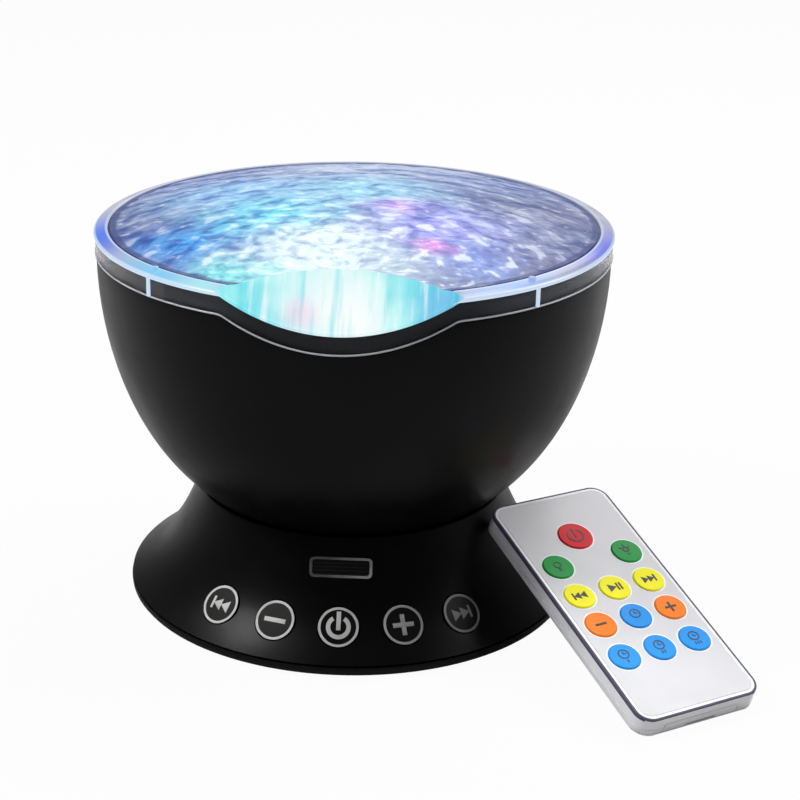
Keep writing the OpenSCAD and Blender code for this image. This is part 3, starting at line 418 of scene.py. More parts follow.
class Finish:
    """A node material being built."""

    def __init__(self, name, **sockets):
        self.material = bpy.data.materials.new(name)
        self.material.use_nodes = True
        self.tree = self.material.node_tree
        self.shader = self.tree.nodes["Principled BSDF"]
        for key, value in sockets.items():
            self.shader.inputs[key.replace("_", " ")].default_value = value

    def add(self, kind, **settings):
        node = self.tree.nodes.new("ShaderNode" + kind)
        for key, value in settings.items():
            if hasattr(node, key):
                setattr(node, key, value)
            else:
                node.inputs[key.replace("_", " ")].default_value = value
        return node

    def link(self, source, target):
        self.tree.links.new(source, target)

    def coords(self, scale=(1, 1, 1)):
        place = self.add("TexCoord")
        turn = self.add("Mapping")
        turn.inputs["Scale"].default_value = scale
        self.link(place.outputs["Object"], turn.inputs["Vector"])
        return turn.outputs["Vector"]

    def axis(self, letter):
        parts = self.add("SeparateXYZ")
        self.link(self.coords(), parts.inputs[0])
        return parts.outputs[letter]

    def radius(self):
        size = self.add("VectorMath", operation='LENGTH')
        self.link(self.coords((1, 1, 0)), size.inputs[0])
        return size.outputs["Value"]

    def around(self, centre, spread):
        """Coordinates that run outwards from a point, and round it."""
        away = self.add("VectorMath", operation='SUBTRACT')
        self.link(self.coords((1, 1, 0)), away.inputs[0])
        away.inputs[1].default_value = (centre[0] * MM, centre[1] * MM, 0)
        size = self.add("VectorMath", operation='LENGTH')
        self.link(away.outputs["Vector"], size.inputs[0])
        parts = self.add("SeparateXYZ")
        self.link(away.outputs["Vector"], parts.inputs[0])
        turn = self.add("Math", operation='ARCTAN2')
        self.link(parts.outputs["X"], turn.inputs[0])
        self.link(parts.outputs["Y"], turn.inputs[1])
        arc = self.add("Math", operation='MULTIPLY')
        self.link(turn.outputs[0], arc.inputs[0])
        arc.inputs[1].default_value = spread
        both = self.add("CombineXYZ")
        self.link(size.outputs["Value"], both.inputs[0])
        self.link(arc.outputs[0], both.inputs[1])
        return both.outputs[0]

    def noise(self, where, scale, detail=3.0, roughness=0.5, warp=0.0):
        node = self.add("TexNoise")
        node.inputs["Scale"].default_value = scale
        node.inputs["Detail"].default_value = detail
        node.inputs["Roughness"].default_value = roughness
        node.inputs["Distortion"].default_value = warp
        self.link(where, node.inputs["Vector"])
        return node.outputs["Fac"]

    def ramp(self, source, *stops):
        node = self.add("ValToRGB")
        while len(node.color_ramp.elements) < len(stops):
            node.color_ramp.elements.new(0.5)
        for element, (position, colour) in zip(node.color_ramp.elements, stops):
            element.position = position
            element.color = colour if isinstance(colour, tuple) else (colour,) * 3 + (1,)
        self.link(source, node.inputs["Fac"])
        return node.outputs["Color"]

    def mix(self, share, a, b, blend='MIX'):
        node = self.add("MixRGB", blend_type=blend)
        for value, name in ((share, "Fac"), (a, "Color1"), (b, "Color2")):
            if isinstance(value, (int, float, tuple)):
                node.inputs[name].default_value = value
            else:
                self.link(value, node.inputs[name])
        return node.outputs["Color"]

    def span(self, source, low, high, to_low=0.0, to_high=1.0):
        node = self.add("MapRange", interpolation_type='SMOOTHSTEP')
        for name, value in (("From Min", low), ("From Max", high),
                            ("To Min", to_low), ("To Max", to_high)):
            node.inputs[name].default_value = value
        self.link(source, node.inputs["Value"])
        return node.outputs["Result"]

    def bump(self, height, distance, strength=1.0):
        node = self.add("Bump")
        node.inputs["Distance"].default_value = distance
        node.inputs["Strength"].default_value = strength
        self.link(height, node.inputs["Height"])
        self.link(node.outputs["Normal"], self.shader.inputs["Normal"])

    def to(self, name, source):
        self.link(source, self.shader.inputs[name])

    def blobs(self, where, colour, patches):
        """Blends soft round patches of colour into a field: x, y, radius, colour, strength."""
        for x, y, radius, screen, strength in patches:
            far = self.add("VectorMath", operation='DISTANCE')
            self.link(where, far.inputs[0])
            far.inputs[1].default_value = (x * MM, y * MM, 0)
            share = self.span(far.outputs["Value"], 0.0, radius * MM, strength, 0.0)
            colour = self.mix(share, colour, tint(*screen))
        return colour

    def glow(self, colour, dim):
        """Paints a colour on as glow, over a body that reflects a dimmed share of it."""
        self.to("Emission Color", colour)
        self.to("Base Color", self.mix(dim, colour, grey(0.0)))


def moulded(name, colour, roughness, grain=900, depth=0.00004, gloss=0.5):
    """Moulded plastic: fine grain, slight cloudiness and polish that varies."""
    f = Finish(name, Specular_IOR_Level=gloss)
    where = f.coords()
    f.to("Base Color", f.ramp(f.noise(where, 38, 4), (0.3, shade(colour, 0.94)),
                              (0.7, shade(colour, 1.05))))
    f.to("Roughness", f.ramp(f.noise(where, 120, 5), (0.3, roughness - POLISH_SPREAD),
                             (0.7, roughness + POLISH_SPREAD)))
    f.bump(f.noise(where, grain, 2), depth, 0.35)
    return f.material


def satin_black(name, base=0.0012, roughness=0.34, gloss=0.1, grain=1500):
    """Black satin plastic with a fine spark-eroded grain and faint handling polish."""
    f = Finish(name, Specular_IOR_Level=gloss)
    where = f.coords()
    f.to("Base Color", f.ramp(f.noise(where, 22, 5), (0.3, shade(grey(base), 0.8)),
                              (0.7, (base * 1.35, base * 1.28, base * 1.22, 1))))
    f.to("Roughness", f.ramp(f.noise(where, 60, 6, 0.6), (0.3, roughness - 0.05),
                             (0.7, roughness + 0.05)))
    f.bump(f.noise(where, grain, 2), 0.00003, 0.3)
    return f.material


def metal(name, colour, roughness, stretch=(1, 1, 1)):
    """Plated or drawn metal with fine lines."""
    f = Finish(name, Metallic=1.0)
    where = f.coords(stretch)
    lines = f.noise(where, 900, 4)
    f.to("Base Color", f.ramp(f.noise(where, 60, 4), (0.3, shade(colour, 0.86)),
                              (0.7, shade(colour, 1.06))))
    f.to("Roughness", f.ramp(lines, (0.3, roughness - 0.08), (0.7, roughness + 0.1)))
    f.bump(lines, BRUSH_DEPTH, 0.4)
    return f.material


def board(name, mask, trace):
    """A circuit board: solder mask over raised copper tracks."""
    f = Finish(name, Roughness=0.32, Specular_IOR_Level=0.5)
    tracks = f.add("TexBrick", offset=0.37, squash=0.6)
    for key, value in (("Scale", 260.0), ("Mortar Size", 0.012), ("Mortar Smooth", 0.2),
                       ("Brick Width", 1.7), ("Row Height", 0.42)):
        tracks.inputs[key].default_value = value
    for key, value in (("Color1", 0.0), ("Color2", 0.25), ("Mortar", 1.0)):
        tracks.inputs[key].default_value = grey(value)
    f.link(f.coords(), tracks.inputs["Vector"])
    f.to("Base Color", f.mix(f.ramp(tracks.outputs["Color"], (0.2, 0.0), (0.9, 1.0)), mask, trace))
    f.bump(tracks.outputs["Fac"], 0.00004, 0.5)
    return f.material


def clear(name, colour, roughness, ior=1.46):
    """Clear moulded plastic with faint flow marks."""
    f = Finish(name, IOR=ior, Transmission_Weight=1.0, Roughness=roughness)
    where = f.coords()
    f.to("Base Color", f.ramp(f.noise(where, 30, 3), (0.3, shade(colour, 0.95)), (0.7, colour)))
    f.bump(f.noise(where, 140, 2), 0.00006, 0.25)
    return f.material


# ---------------------------------------------------------------- lit finishes: painted glow, shade and highlights

# Patches of painted glow on the dome
DOME_LIGHT = (
    # x, y, radius in mm, colour on screen, strength
    (0, 56, 60, (186, 199, 224), 0.95),
    (-66, 4, 40, (120, 136, 176), 0.95),
    (-60, -34, 22, (96, 128, 190), 0.9),
    (66, 4, 46, (112, 116, 156), 0.95),
    (54, -42, 36, (92, 98, 150), 1.0),
    (-34, 8, 38, (150, 208, 246), 0.9),
    (2, 10, 36, (156, 222, 244), 0.9),
    (-40, -36, 28, (74, 170, 246), 1.0),
    (-22, -18, 30, (118, 232, 250), 0.95),
    (24, -22, 32, (158, 160, 242), 0.95),
    (36, -44, 20, (118, 150, 226), 0.9),
    (-8, -54, 42, (226, 251, 251), 1.0),
    (-30, -60, 20, (140, 246, 244), 0.9),
    (-6, -36, 20, (226, 248, 252), 0.85),
    (25, -38, 9, (250, 120, 228), 0.8),
    (14, -6, 12, (222, 140, 244), 0.6),
)
RIPPLE_CENTRE = (0.0, -62.0)


def rippled_light(name):
    """The dome: clear moulded ripples, with the lamp's waves of light painted on as glow."""
    f = Finish(name, Roughness=0.25, IOR=1.45, Specular_IOR_Level=0.25, Emission_Strength=0.97)
    flat = f.coords((1, 1, 0))
    bend = f.add("TexNoise", Scale=75.0, Detail=3.0)
    f.link(flat, bend.inputs["Vector"])
    shift = f.add("VectorMath", operation='MULTIPLY_ADD')
    f.link(bend.outputs["Color"], shift.inputs[0])
    shift.inputs[1].default_value = (0.018, 0.018, 0)
    f.link(flat, shift.inputs[2])
    back = f.add("VectorMath", operation='SUBTRACT')
    f.link(shift.outputs["Vector"], back.inputs[0])
    back.inputs[1].default_value = (0.009, 0.009, 0)
    field = f.ramp(f.noise(flat, 26, 3), (0.35, tint(112, 128, 178)), (0.65, tint(152, 166, 208)))
    colour = f.blobs(back.outputs["Vector"], field, DOME_LIGHT)
    strokes = f.noise(f.around(RIPPLE_CENTRE, 0.032), 196, 2.0, 0.5, 0.35)
    small = f.noise(f.coords((1, 1.5, 0)), 260, 1.5, 0.5, 0.4)
    away = f.add("VectorMath", operation='DISTANCE')
    f.link(flat, away.inputs[0])
    away.inputs[1].default_value = (RIPPLE_CENTRE[0] * MM, RIPPLE_CENTRE[1] * MM, 0)
    # Painted shade in the ripples' troughs, fainter near the lip
    painted_trough_shade = f.mix(1.0, f.ramp(strokes, (0.36, 0.85), (0.5, 0.0)),
                 f.span(away.outputs["Value"], 0.006, 0.045, 0.25, 1.0), 'MULTIPLY')
    colour = f.mix(painted_trough_shade, colour, tint(146, 164, 208), 'MULTIPLY')
    # Painted shade in the small wavelets' troughs
    colour = f.mix(f.ramp(small, (0.36, 0.4), (0.5, 0.0)), colour, tint(140, 160, 206), 'MULTIPLY')
    # Painted highlights on the ripples' crests, fainter away from the lip
    painted_crest_highlight = f.mix(1.0, f.ramp(strokes, (0.56, 0.0), (0.66, 0.7)),
                  f.span(away.outputs["Value"], 0.03, 0.085, 1.0, 0.38), 'MULTIPLY')
    colour = f.mix(painted_crest_highlight, colour, tint(238, 248, 255))
    # Painted highlights on the small wavelets
    colour = f.mix(f.ramp(small, (0.62, 0.0), (0.72, 0.36)), colour, tint(246, 250, 255))
    # Painted shadow of the groove round the dome's edge
    painted_groove_shadow = f.span(f.radius(), (DOME_EDGE_R - 2.4) * MM, (DOME_EDGE_R - 1.3) * MM, 0.0, 0.85)
    colour = f.mix(painted_groove_shadow, colour, tint(52, 66, 122))
    f.glow(colour, 0.95)
    f.bump(strokes, 0.0004, 0.4)
    return f.material


def lip_light(name):
    """The lip: painted glow, the brightest part, with painted light streaks from top to bottom."""
    f = Finish(name, Roughness=0.2, Specular_IOR_Level=0.25, Emission_Strength=0.97)
    flat = f.coords((1, 1, 0))
    colour = f.blobs(flat, f.ramp(f.noise(flat, 60, 2), (0.4, tint(118, 226, 236)),
                                  (0.6, tint(172, 246, 244))), (
        (-2, -66, 25, (242, 252, 251), 0.95), (4, -72, 14, (252, 253, 252), 0.9),
        (-10, -70, 7, (252, 198, 226), 0.55), (27, -69, 13, (120, 188, 232), 0.8)))
    painted_light_streaks = f.noise(f.coords((1, 0.08, 0)), 250, 4, 0.6)
    # Painted light streaks, darker and paler from top to bottom
    colour = f.mix(f.ramp(painted_light_streaks, (0.32, 0.75), (0.48, 0.0)), colour, tint(150, 232, 240),
                   'MULTIPLY')
    colour = f.mix(f.ramp(painted_light_streaks, (0.55, 0.0), (0.68, 0.7)), colour, tint(252, 254, 254))
    f.glow(colour, 0.96)
    f.bump(painted_light_streaks, 0.0002, 0.4)
    return f.material


def edge_light(name):
    """The cover's rim, with the lamp's light painted on as glow and painted highlight lines along
    its edges.
    """
    f = Finish(name, Roughness=0.2, Specular_IOR_Level=0.3, Emission_Strength=0.9)
    flat = f.coords((1, 1, 0))
    colour = f.ramp(f.noise(flat, 60, 4), (0.4, tint(170, 172, 194)), (0.65, tint(190, 192, 208)))
    colour = f.blobs(flat, colour, (
        (-74, -22, 30, (66, 118, 236), 1.0), (-50, -56, 30, (138, 206, 246), 1.0),
        (-36, -66, 16, (176, 238, 248), 0.95), (46, -60, 28, (156, 186, 238), 1.0),
        (74, -22, 30, (112, 124, 226), 1.0)))
    across = f.span(f.radius(), (LEDGE_IN - 0.2) * MM, (COLLAR_R + 0.6) * MM)
    # Painted highlight lines at the rim's inner and outer edges, stronger at the front
    lines = f.ramp(across, (0.0, 0.6), (0.07, 0.6), (0.16, 0.0), (0.88, 0.0), (0.96, 0.7))
    front = f.span(f.axis("Y"), -0.03, 0.02, 1.0, 0.25)
    shine = f.add("Math", operation='MULTIPLY')
    f.link(lines, shine.inputs[0])
    f.link(front, shine.inputs[1])
    f.glow(f.mix(shine.outputs[0], colour, tint(222, 238, 252)), 0.95)
    f.bump(f.noise(flat, 350, 2), 0.0001, 0.3)
    return f.material


def painted_collar_shading(name):
    """Inside of the collar, painted light and shade: a painted misty sheen at the left, black under
    the lip and dark at the right as painted shade.
    """
    f = Finish(name, Roughness=0.45, Specular_IOR_Level=0.2)
    flat = f.coords((1, 1, 0))
    x = f.axis("X")
    painted_mist_sheen = f.ramp(f.noise(flat, 70, 4), (0.35, tint(76, 68, 66)), (0.65, tint(98, 88, 84)))
    # Painted shade: black under the lip and dark grey at the right
    dark = f.mix(f.span(x, -0.034, -0.020), tint(46, 45, 44), tint(8, 8, 9))
    dark = f.mix(f.span(x, 0.030, 0.052), dark, tint(52, 51, 52))
    f.to("Base Color", f.mix(f.span(x, -0.0475, -0.0465), painted_mist_sheen, dark))
    f.bump(f.noise(flat, 500, 2), 0.00005, 0.4)
    return f.material


def frame_line(name):
    """The window's moulded edge, with a painted highlight that makes it paler towards its right
    end.
    """
    f = Finish(name, Roughness=0.35)
    wear = f.noise(f.coords(), 400, 3)
    # Painted highlight: paler towards the right end
    colour = f.mix(f.span(f.axis("X"), -0.006, 0.009), tint(84, 84, 86), tint(168, 168, 170))
    f.to("Base Color", f.mix(f.ramp(wear, (0.4, 0.0), (0.6, 0.3)), colour, tint(60, 60, 62)))
    f.bump(wear, 0.00003, 0.3)
    return f.material


def window_glass(name):
    """Smoked glass with the faint lines of the receiver's screen behind it."""
    f = Finish(name, Roughness=0.14, Specular_IOR_Level=0.35)
    bands = f.add("TexWave", bands_direction='Z', Scale=330.0, Distortion=0.4, Detail=2.0)
    f.link(f.coords(), bands.inputs["Vector"])
    f.to("Base Color", f.ramp(bands.outputs["Fac"], (0.6, grey(0.002)), (0.95, grey(0.010))))
    f.bump(f.noise(f.coords(), 300, 2), 0.00003, 0.3)
    return f.material


def print_finish(name):
    """Pad print, greyer towards the right-hand keys, with faint random wear."""
    f = Finish(name, Roughness=0.5, Specular_IOR_Level=0.3)
    wear = f.noise(f.coords(), 260, 4)
    colour = f.mix(f.span(f.axis("X"), -0.022, 0.030), tint(206, 206, 204), tint(118, 118, 120))
    f.to("Base Color", f.mix(f.ramp(wear, (0.5, 0.0), (0.75, 0.25)), colour, tint(90, 90, 92)))
    f.bump(wear, 0.00002, 0.3)
    return f.material


FINISHES = {}


def make_finishes():
    FINISHES.update({
        "black_plastic": satin_black("satin_black"),
        "black_plate": satin_black("plate_black", 0.003, 0.48, 0.14, 1100),
        "black_keys": satin_black("key_black", 0.0018, 0.4, 0.12),
        "deck_black": satin_black("deck_black", 0.014, 0.6, 0.25, 700),
        "clear_cover": clear("clear_cover", (0.86, 0.92, 1.0, 1), 0.08),
        "collar_clear": clear("collar_clear", (0.9, 0.94, 1.0, 1), 0.12, 1.17),
        "clear_disc": clear("clear_disc", (0.88, 0.94, 1.0, 1), 0.05),
        "ir_smoke": clear("smoked_clear", (0.16, 0.15, 0.17, 1), 0.12),
        "white_plastic": moulded("reflector_white", tint(236, 236, 234), 0.2),
        "acetal": moulded("acetal", tint(236, 235, 226), 0.4),
        "rubber": moulded("foot_rubber", (0.022, 0.022, 0.023, 1), 0.78, 500, 0.0001, 0.25),
        "steel": metal("zinc_plate", (0.62, 0.62, 0.63, 1), 0.3),
        "saddle_nylon": moulded("nylon_grey", (0.03, 0.03, 0.033, 1), 0.5),
        "motor_can": metal("motor_can", (0.56, 0.57, 0.6, 1), 0.32, (1, 1, 0.08)),
        "led_board_white": board("lamp_board", tint(236, 238, 232), tint(205, 208, 200)),
        "led_epoxy": moulded("lamp_silicone", tint(240, 226, 150), 0.18),
        "board_green": board("main_board_green", (0.012, 0.12, 0.05, 1), (0.03, 0.22, 0.09, 1)),
        "key_flex": board("key_board_amber", (0.42, 0.19, 0.025, 1), (0.6, 0.32, 0.07, 1)),
        "chip_black": moulded("chip_black", (0.016, 0.016, 0.018, 1), 0.5, 1400),
        "socket_metal": metal("socket_shell", (0.68, 0.68, 0.69, 1), 0.24),
        "socket_black": moulded("socket_black", (0.014, 0.014, 0.015, 1), 0.45),
        "speaker_steel": metal("speaker_basket", (0.5, 0.51, 0.53, 1), 0.36),
        "speaker_paper": moulded("cone_paper", (0.018, 0.018, 0.02, 1), 0.85, 320, 0.0002, 0.2),
        "magnet": moulded("ferrite", (0.05, 0.05, 0.055, 1), 0.6, 260, 0.0001),
        "remote_white": moulded("remote_white", tint(238, 238, 242), 0.32, 700),
        "remote_grey": moulded("remote_face_grey", tint(216, 216, 220), 0.5, 1200, gloss=0.3),
        "remote_green_board": board("remote_board_green", (0.02, 0.14, 0.06, 1),
                                    (0.05, 0.24, 0.1, 1)),
        "dome_steel": metal("snap_dome", (0.7, 0.7, 0.72, 1), 0.2),
        "ir_led": clear("infrared_lamp", (0.2, 0.17, 0.3, 1), 0.05),
        "cell_steel": metal("cell_nickel", (0.72, 0.72, 0.73, 1), 0.22),
        "key_red": moulded("key_red", tint(212, 8, 30), 0.5, 600, gloss=0.25),
        "key_green": moulded("key_green", tint(4, 150, 62), 0.5, 600, gloss=0.25),
        "key_yellow": moulded("key_yellow", tint(254, 244, 10), 0.5, 600, gloss=0.25),
        "key_orange": moulded("key_orange", tint(254, 128, 4), 0.5, 600, gloss=0.25),
        "key_blue": moulded("key_blue", tint(10, 148, 236), 0.5, 600, gloss=0.25),
        "print_white": print_finish("print_white"),
        "print_dark": moulded("print_dark", (0.02, 0.02, 0.022, 1), 0.5, 900),
        "halo_white": moulded("halo_white", tint(246, 247, 250), 0.5, 900, gloss=0.3),
        # Painted shade: the dark outline round the remote's edge
        "painted_edge_shade_slate": moulded("painted_edge_shade_slate", tint(76, 74, 96), 0.5, 900, gloss=0.3),
        # Painted shade in the groove round the dome
        "groove_painted_shade": moulded("groove_painted_shade", tint(16, 26, 70), 0.3, 900),
        "window_edge": frame_line("window_edge"),
        "window_glass": window_glass("window_glass"),
        "wave_light": rippled_light("wave_light"),
        "lip_light": lip_light("lip_light"),
        "edge_light": edge_light("edge_light"),
        "backing": painted_collar_shading("collar_painted_shading_sheet"),
        "collar_line": moulded("collar_line", tint(186, 187, 192), 0.3, 900),
    })


# ---------------------------------------------------------------- prints

class Print:
    """Flat marks built in the XY plane, in mm, and then set on a face."""
    DEPTH, SINK, BEVEL = 0.12, 0.05, 0.03

    def __init__(self):
        self.parts = []

    def keep(self, obj):
        settle(obj)
        modify(obj, 'BEVEL', width=self.BEVEL * MM, segments=2)
        self.parts.append(obj)
        return self

    def bar(self, width, height, x=0.0, y=0.0, turn=0.0):
        deselect()
        bpy.ops.mesh.primitive_cube_add(size=1, location=(x * MM, y * MM, 0),
                                        rotation=(0, 0, math.radians(turn)))
        obj = bpy.context.object
        obj.scale = (width * MM, height * MM, self.DEPTH * MM)
        return self.keep(obj)

    def arrow(self, radius, x=0.0, y=0.0, turn=0.0, squeeze=1.0):
        """A triangle that points along +x before its turn."""
        deselect()
        bpy.ops.mesh.primitive_cylinder_add(vertices=3, radius=radius * MM, depth=self.DEPTH * MM,
                                            rotation=(0, 0, math.radians(turn - 90)))
        obj = settle(bpy.context.object)
        obj.scale = (squeeze, 1, 1)
        obj.location = (x * MM, y * MM, 0)
        return self.keep(obj)

    def arc(self, radius, width, x=0.0, y=0.0, start=0.0, sweep=360.0):
        """A stroke of the given width along a circle, anticlockwise from its start."""
        deselect()
        bpy.ops.mesh.primitive_plane_add(size=1, location=(radius * MM, 0, 0),
                                         rotation=(math.pi / 2, 0, 0))
        obj = bpy.context.object
        obj.scale = (width * MM, self.DEPTH * MM, 1)
        settle(obj)
        whole = sweep >= 360

        def spin():
            if whole:
                bpy.ops.mesh.delete(type='ONLY_FACE')
                bpy.ops.mesh.select_all(action='SELECT')
            bpy.ops.mesh.spin(steps=max(16, round(sweep / 4)), angle=math.radians(sweep),
                              center=(0, 0, 0), axis=(0, 0, -1))
        edit(obj, spin, close_up, face_out)
        obj.rotation_euler = (0, 0, math.radians(start))
        obj.location = (x * MM, y * MM, 0)
        self.parts.append(settle(obj))
        return self

    def set_on(self, name, place, body, finish):
        """Sets the marks at a place whose z axis looks out of the face."""
        obj = join(self.parts, name)
        seat(obj, place @ Matrix.Translation((0, 0, (self.DEPTH / 2 - self.SINK) * MM)))
        smooth(obj, 30)
        return dress(obj, body, finish)


def face_centre(node, normal):
    """Centre of a node's outermost face along a direction."""
    points = [v.co.copy() for v in frame["nodes"][node].data.vertices]
    top = max(p.dot(normal) for p in points)
    face = [p for p in points if p.dot(normal) > top - 0.00002]
    across = normal.orthogonal().normalized()
    upward = normal.cross(across)
    mid = [(min(p.dot(a) for p in face) + max(p.dot(a) for p in face)) / 2
           for a in (across, upward)]
    return across * mid[0] + upward * mid[1] + normal * top


def joint_axis(name):
    found = [j for j in frame["joints"] if j["name"] == name]
    if not found:
        raise RuntimeError("no joint named " + name)
    return Vector(found[0]["axis"]).normalized()


def power_mark(marks, radius, stroke, reach, foot):
    """A ring open at its top, with a bar from foot to reach through the gap."""
    marks.arc(radius, stroke, start=122, sweep=296)
    return marks.bar(stroke, reach - foot, 0, (reach + foot) / 2)


def skip_mark(marks, size, way):
    """Two arrows and a bar, pointing left (-1) or right (1)."""
    turn = 0 if way > 0 else 180
    for k in (-0.95, 0.35):
        marks.arrow(size, way * k * size, 0, turn, 0.9)
    return marks.bar(size * 0.36, size * 1.75, way * size * 1.32, 0)


def clock_mark(marks, ticks):
    marks.arc(1.5, 0.34, 0, 0.7).bar(0.3, 1.0, 0, 1.1).bar(0.9, 0.3, 0.35, 0.7)
    for i in range(ticks):
        marks.bar(0.36, 0.95, (i - (ticks - 1) / 2) * 0.85, -1.9)
    return marks


# ---------------------------------------------------------------- settings

class ShellSettings(bpy.types.PropertyGroup):
    """Sizes of the shells' skins."""
    columns: bpy.props.IntProperty(
        name="Columns", description="Columns of faces round the bowl and the cover",
        default=360, min=96, max=720)
    ripple: bpy.props.FloatProperty(
        name="Ripple depth", description="Depth of the ripples moulded in the dome",
        default=0.0009, min=0.0, max=0.002, unit='LENGTH')
    ripple_size: bpy.props.FloatProperty(
        name="Ripple size", description="Distance from one ripple to the next",
        default=0.0055, min=0.002, max=0.02, unit='LENGTH')


class PrintSettings(bpy.types.PropertyGroup):
    """Sizes of the marks on the keys."""
    ring_width: bpy.props.FloatProperty(
        name="Ring width", description="Width of the ring round a foot key, in millimetres",
        default=0.72, min=0.2, max=1.2)
    stroke: bpy.props.FloatProperty(
        name="Stroke", description="Width of the strokes of a foot key's mark, in millimetres",
        default=1.3, min=0.4, max=1.6)


class StageSettings(bpy.types.PropertyGroup):
    """Light and floor."""
    key_power: bpy.props.FloatProperty(
        name="Key light", description="Power of the large lamp to the left",
        default=9.0, min=0.0, max=50, unit='POWER')
    fill_power: bpy.props.FloatProperty(
        name="Fill light", description="Power of the lamp to the right",
        default=8.0, min=0.0, max=50, unit='POWER')
    top_power: bpy.props.FloatProperty(
        name="Top light", description="Power of the lamp overhead",
        default=5.0, min=0.0, max=50, unit='POWER')
    floor_colour: bpy.props.FloatVectorProperty(
        name="Floor", description="Colour of the floor", subtype='COLOR', size=4,
        default=(0.55, 0.55, 0.55, 1.0), min=0.0, max=1.0)


# ---------------------------------------------------------------- pieces

FOOT_KEYS = ("previous", "minus", "power", "plus", "next")


def bowl_profile(azimuth):
    """The bowl's skin: ball, side, rim with its dip, and the hollow."""
    top = rim_low(azimuth)
    points = [(0.0, TILT_Z - TILT_R)]
    for i in range(1, 13):
        a = MEET_A * i / 12
        points.append((TILT_R * math.sin(a), TILT_Z - TILT_R * math.cos(a)))
    for i in range(1, 45):
        points.append(bowl_point(MEET_Z + (top - 0.5 - MEET_Z) * i / 44, 0))
    edge = bowl_radius(top)
    points += [(edge - 0.15, top - 0.12), (edge - 0.5, top), (edge - BOWL_WALL + 0.3, top),
               (edge - BOWL_WALL, top - 0.3)]
    for i in range(21):
        points.append(bowl_point(MEET_Z + (top - 1 - MEET_Z) * (1 - i / 20), BOWL_WALL))
    inner = TILT_R - BOWL_WALL
    for i in range(11, -1, -1):
        a = MEET_A * i / 12
        points.append((inner * math.sin(a), TILT_Z - inner * math.cos(a)))
    return points


def foot_profile(azimuth):
    """The foot's skin: parting face, flank, neck, seat and the hollow under them."""
    edge = FOOT_R - 1.2
    points = [(edge, PART_Z), (edge, PART_Z + 0.5)]
    points += [flank_point(i / 48)[0] for i in range(49)]
    points += [(NECK_R - 0.2, NECK_Z - 0.2), (NECK_R - 0.7, NECK_Z)]
    top_a = math.acos((TILT_Z - NECK_Z) / SEAT_R)
    points += [(SEAT_R * math.sin(a), TILT_Z - SEAT_R * math.cos(a))
               for a in (top_a * (1 - i / 10) for i in range(11))]
    ball = SEAT_R + FOOT_WALL
    meet = halved(0.3, 0.98, lambda t: flank_point(t, FOOT_WALL)[0][0] ** 2
                  + (TILT_Z - flank_point(t, FOOT_WALL)[0][1]) ** 2 < (ball + 0.2) ** 2)
    r, z = flank_point(meet, FOOT_WALL)[0]
    low_a = math.atan2(r, TILT_Z - z)
    points += [(ball * math.sin(low_a * i / 8), TILT_Z - ball * math.cos(low_a * i / 8))
               for i in range(9)]
    points += [flank_point(meet * (1 - i / 8), FOOT_WALL)[0] for i in range(9)]
    return points + [(edge - FOOT_WALL, PART_Z), (edge, PART_Z)]


class PROJECTOR_OT_finishes(bpy.types.Operator):
    """Makes the finishes and gives each CAD node its own"""
    bl_idname = "projector.finishes"
    bl_label = "Finishes"

    def execute(self, context):
        make_finishes()
        for name, node in frame["nodes"].items():
            for i, material in enumerate(node.data.materials):
                if material.name not in FINISHES:
                    raise RuntimeError(name + " has no finish for " + material.name)
                node.data.materials[i] = FINISHES[material.name]
        return {'FINISHED'}


class PROJECTOR_OT_bowl(bpy.types.Operator):
    """Makes the bowl with the dip in its rim and the slot for its clamp"""
    bl_idname = "projector.bowl"
    bl_label = "Bowl"

    def execute(self, context):
        shell = context.scene.projector_shell
        bowl = ring_skin("bowl_body", shell.columns, bowl_profile)
        cut(bowl, [block(*CLAMP_SLOT)])
        even_out(bowl)
        dress(bowl, "bowl", "black_plastic", ["bowl_shell"])
        return {'FINISHED'}


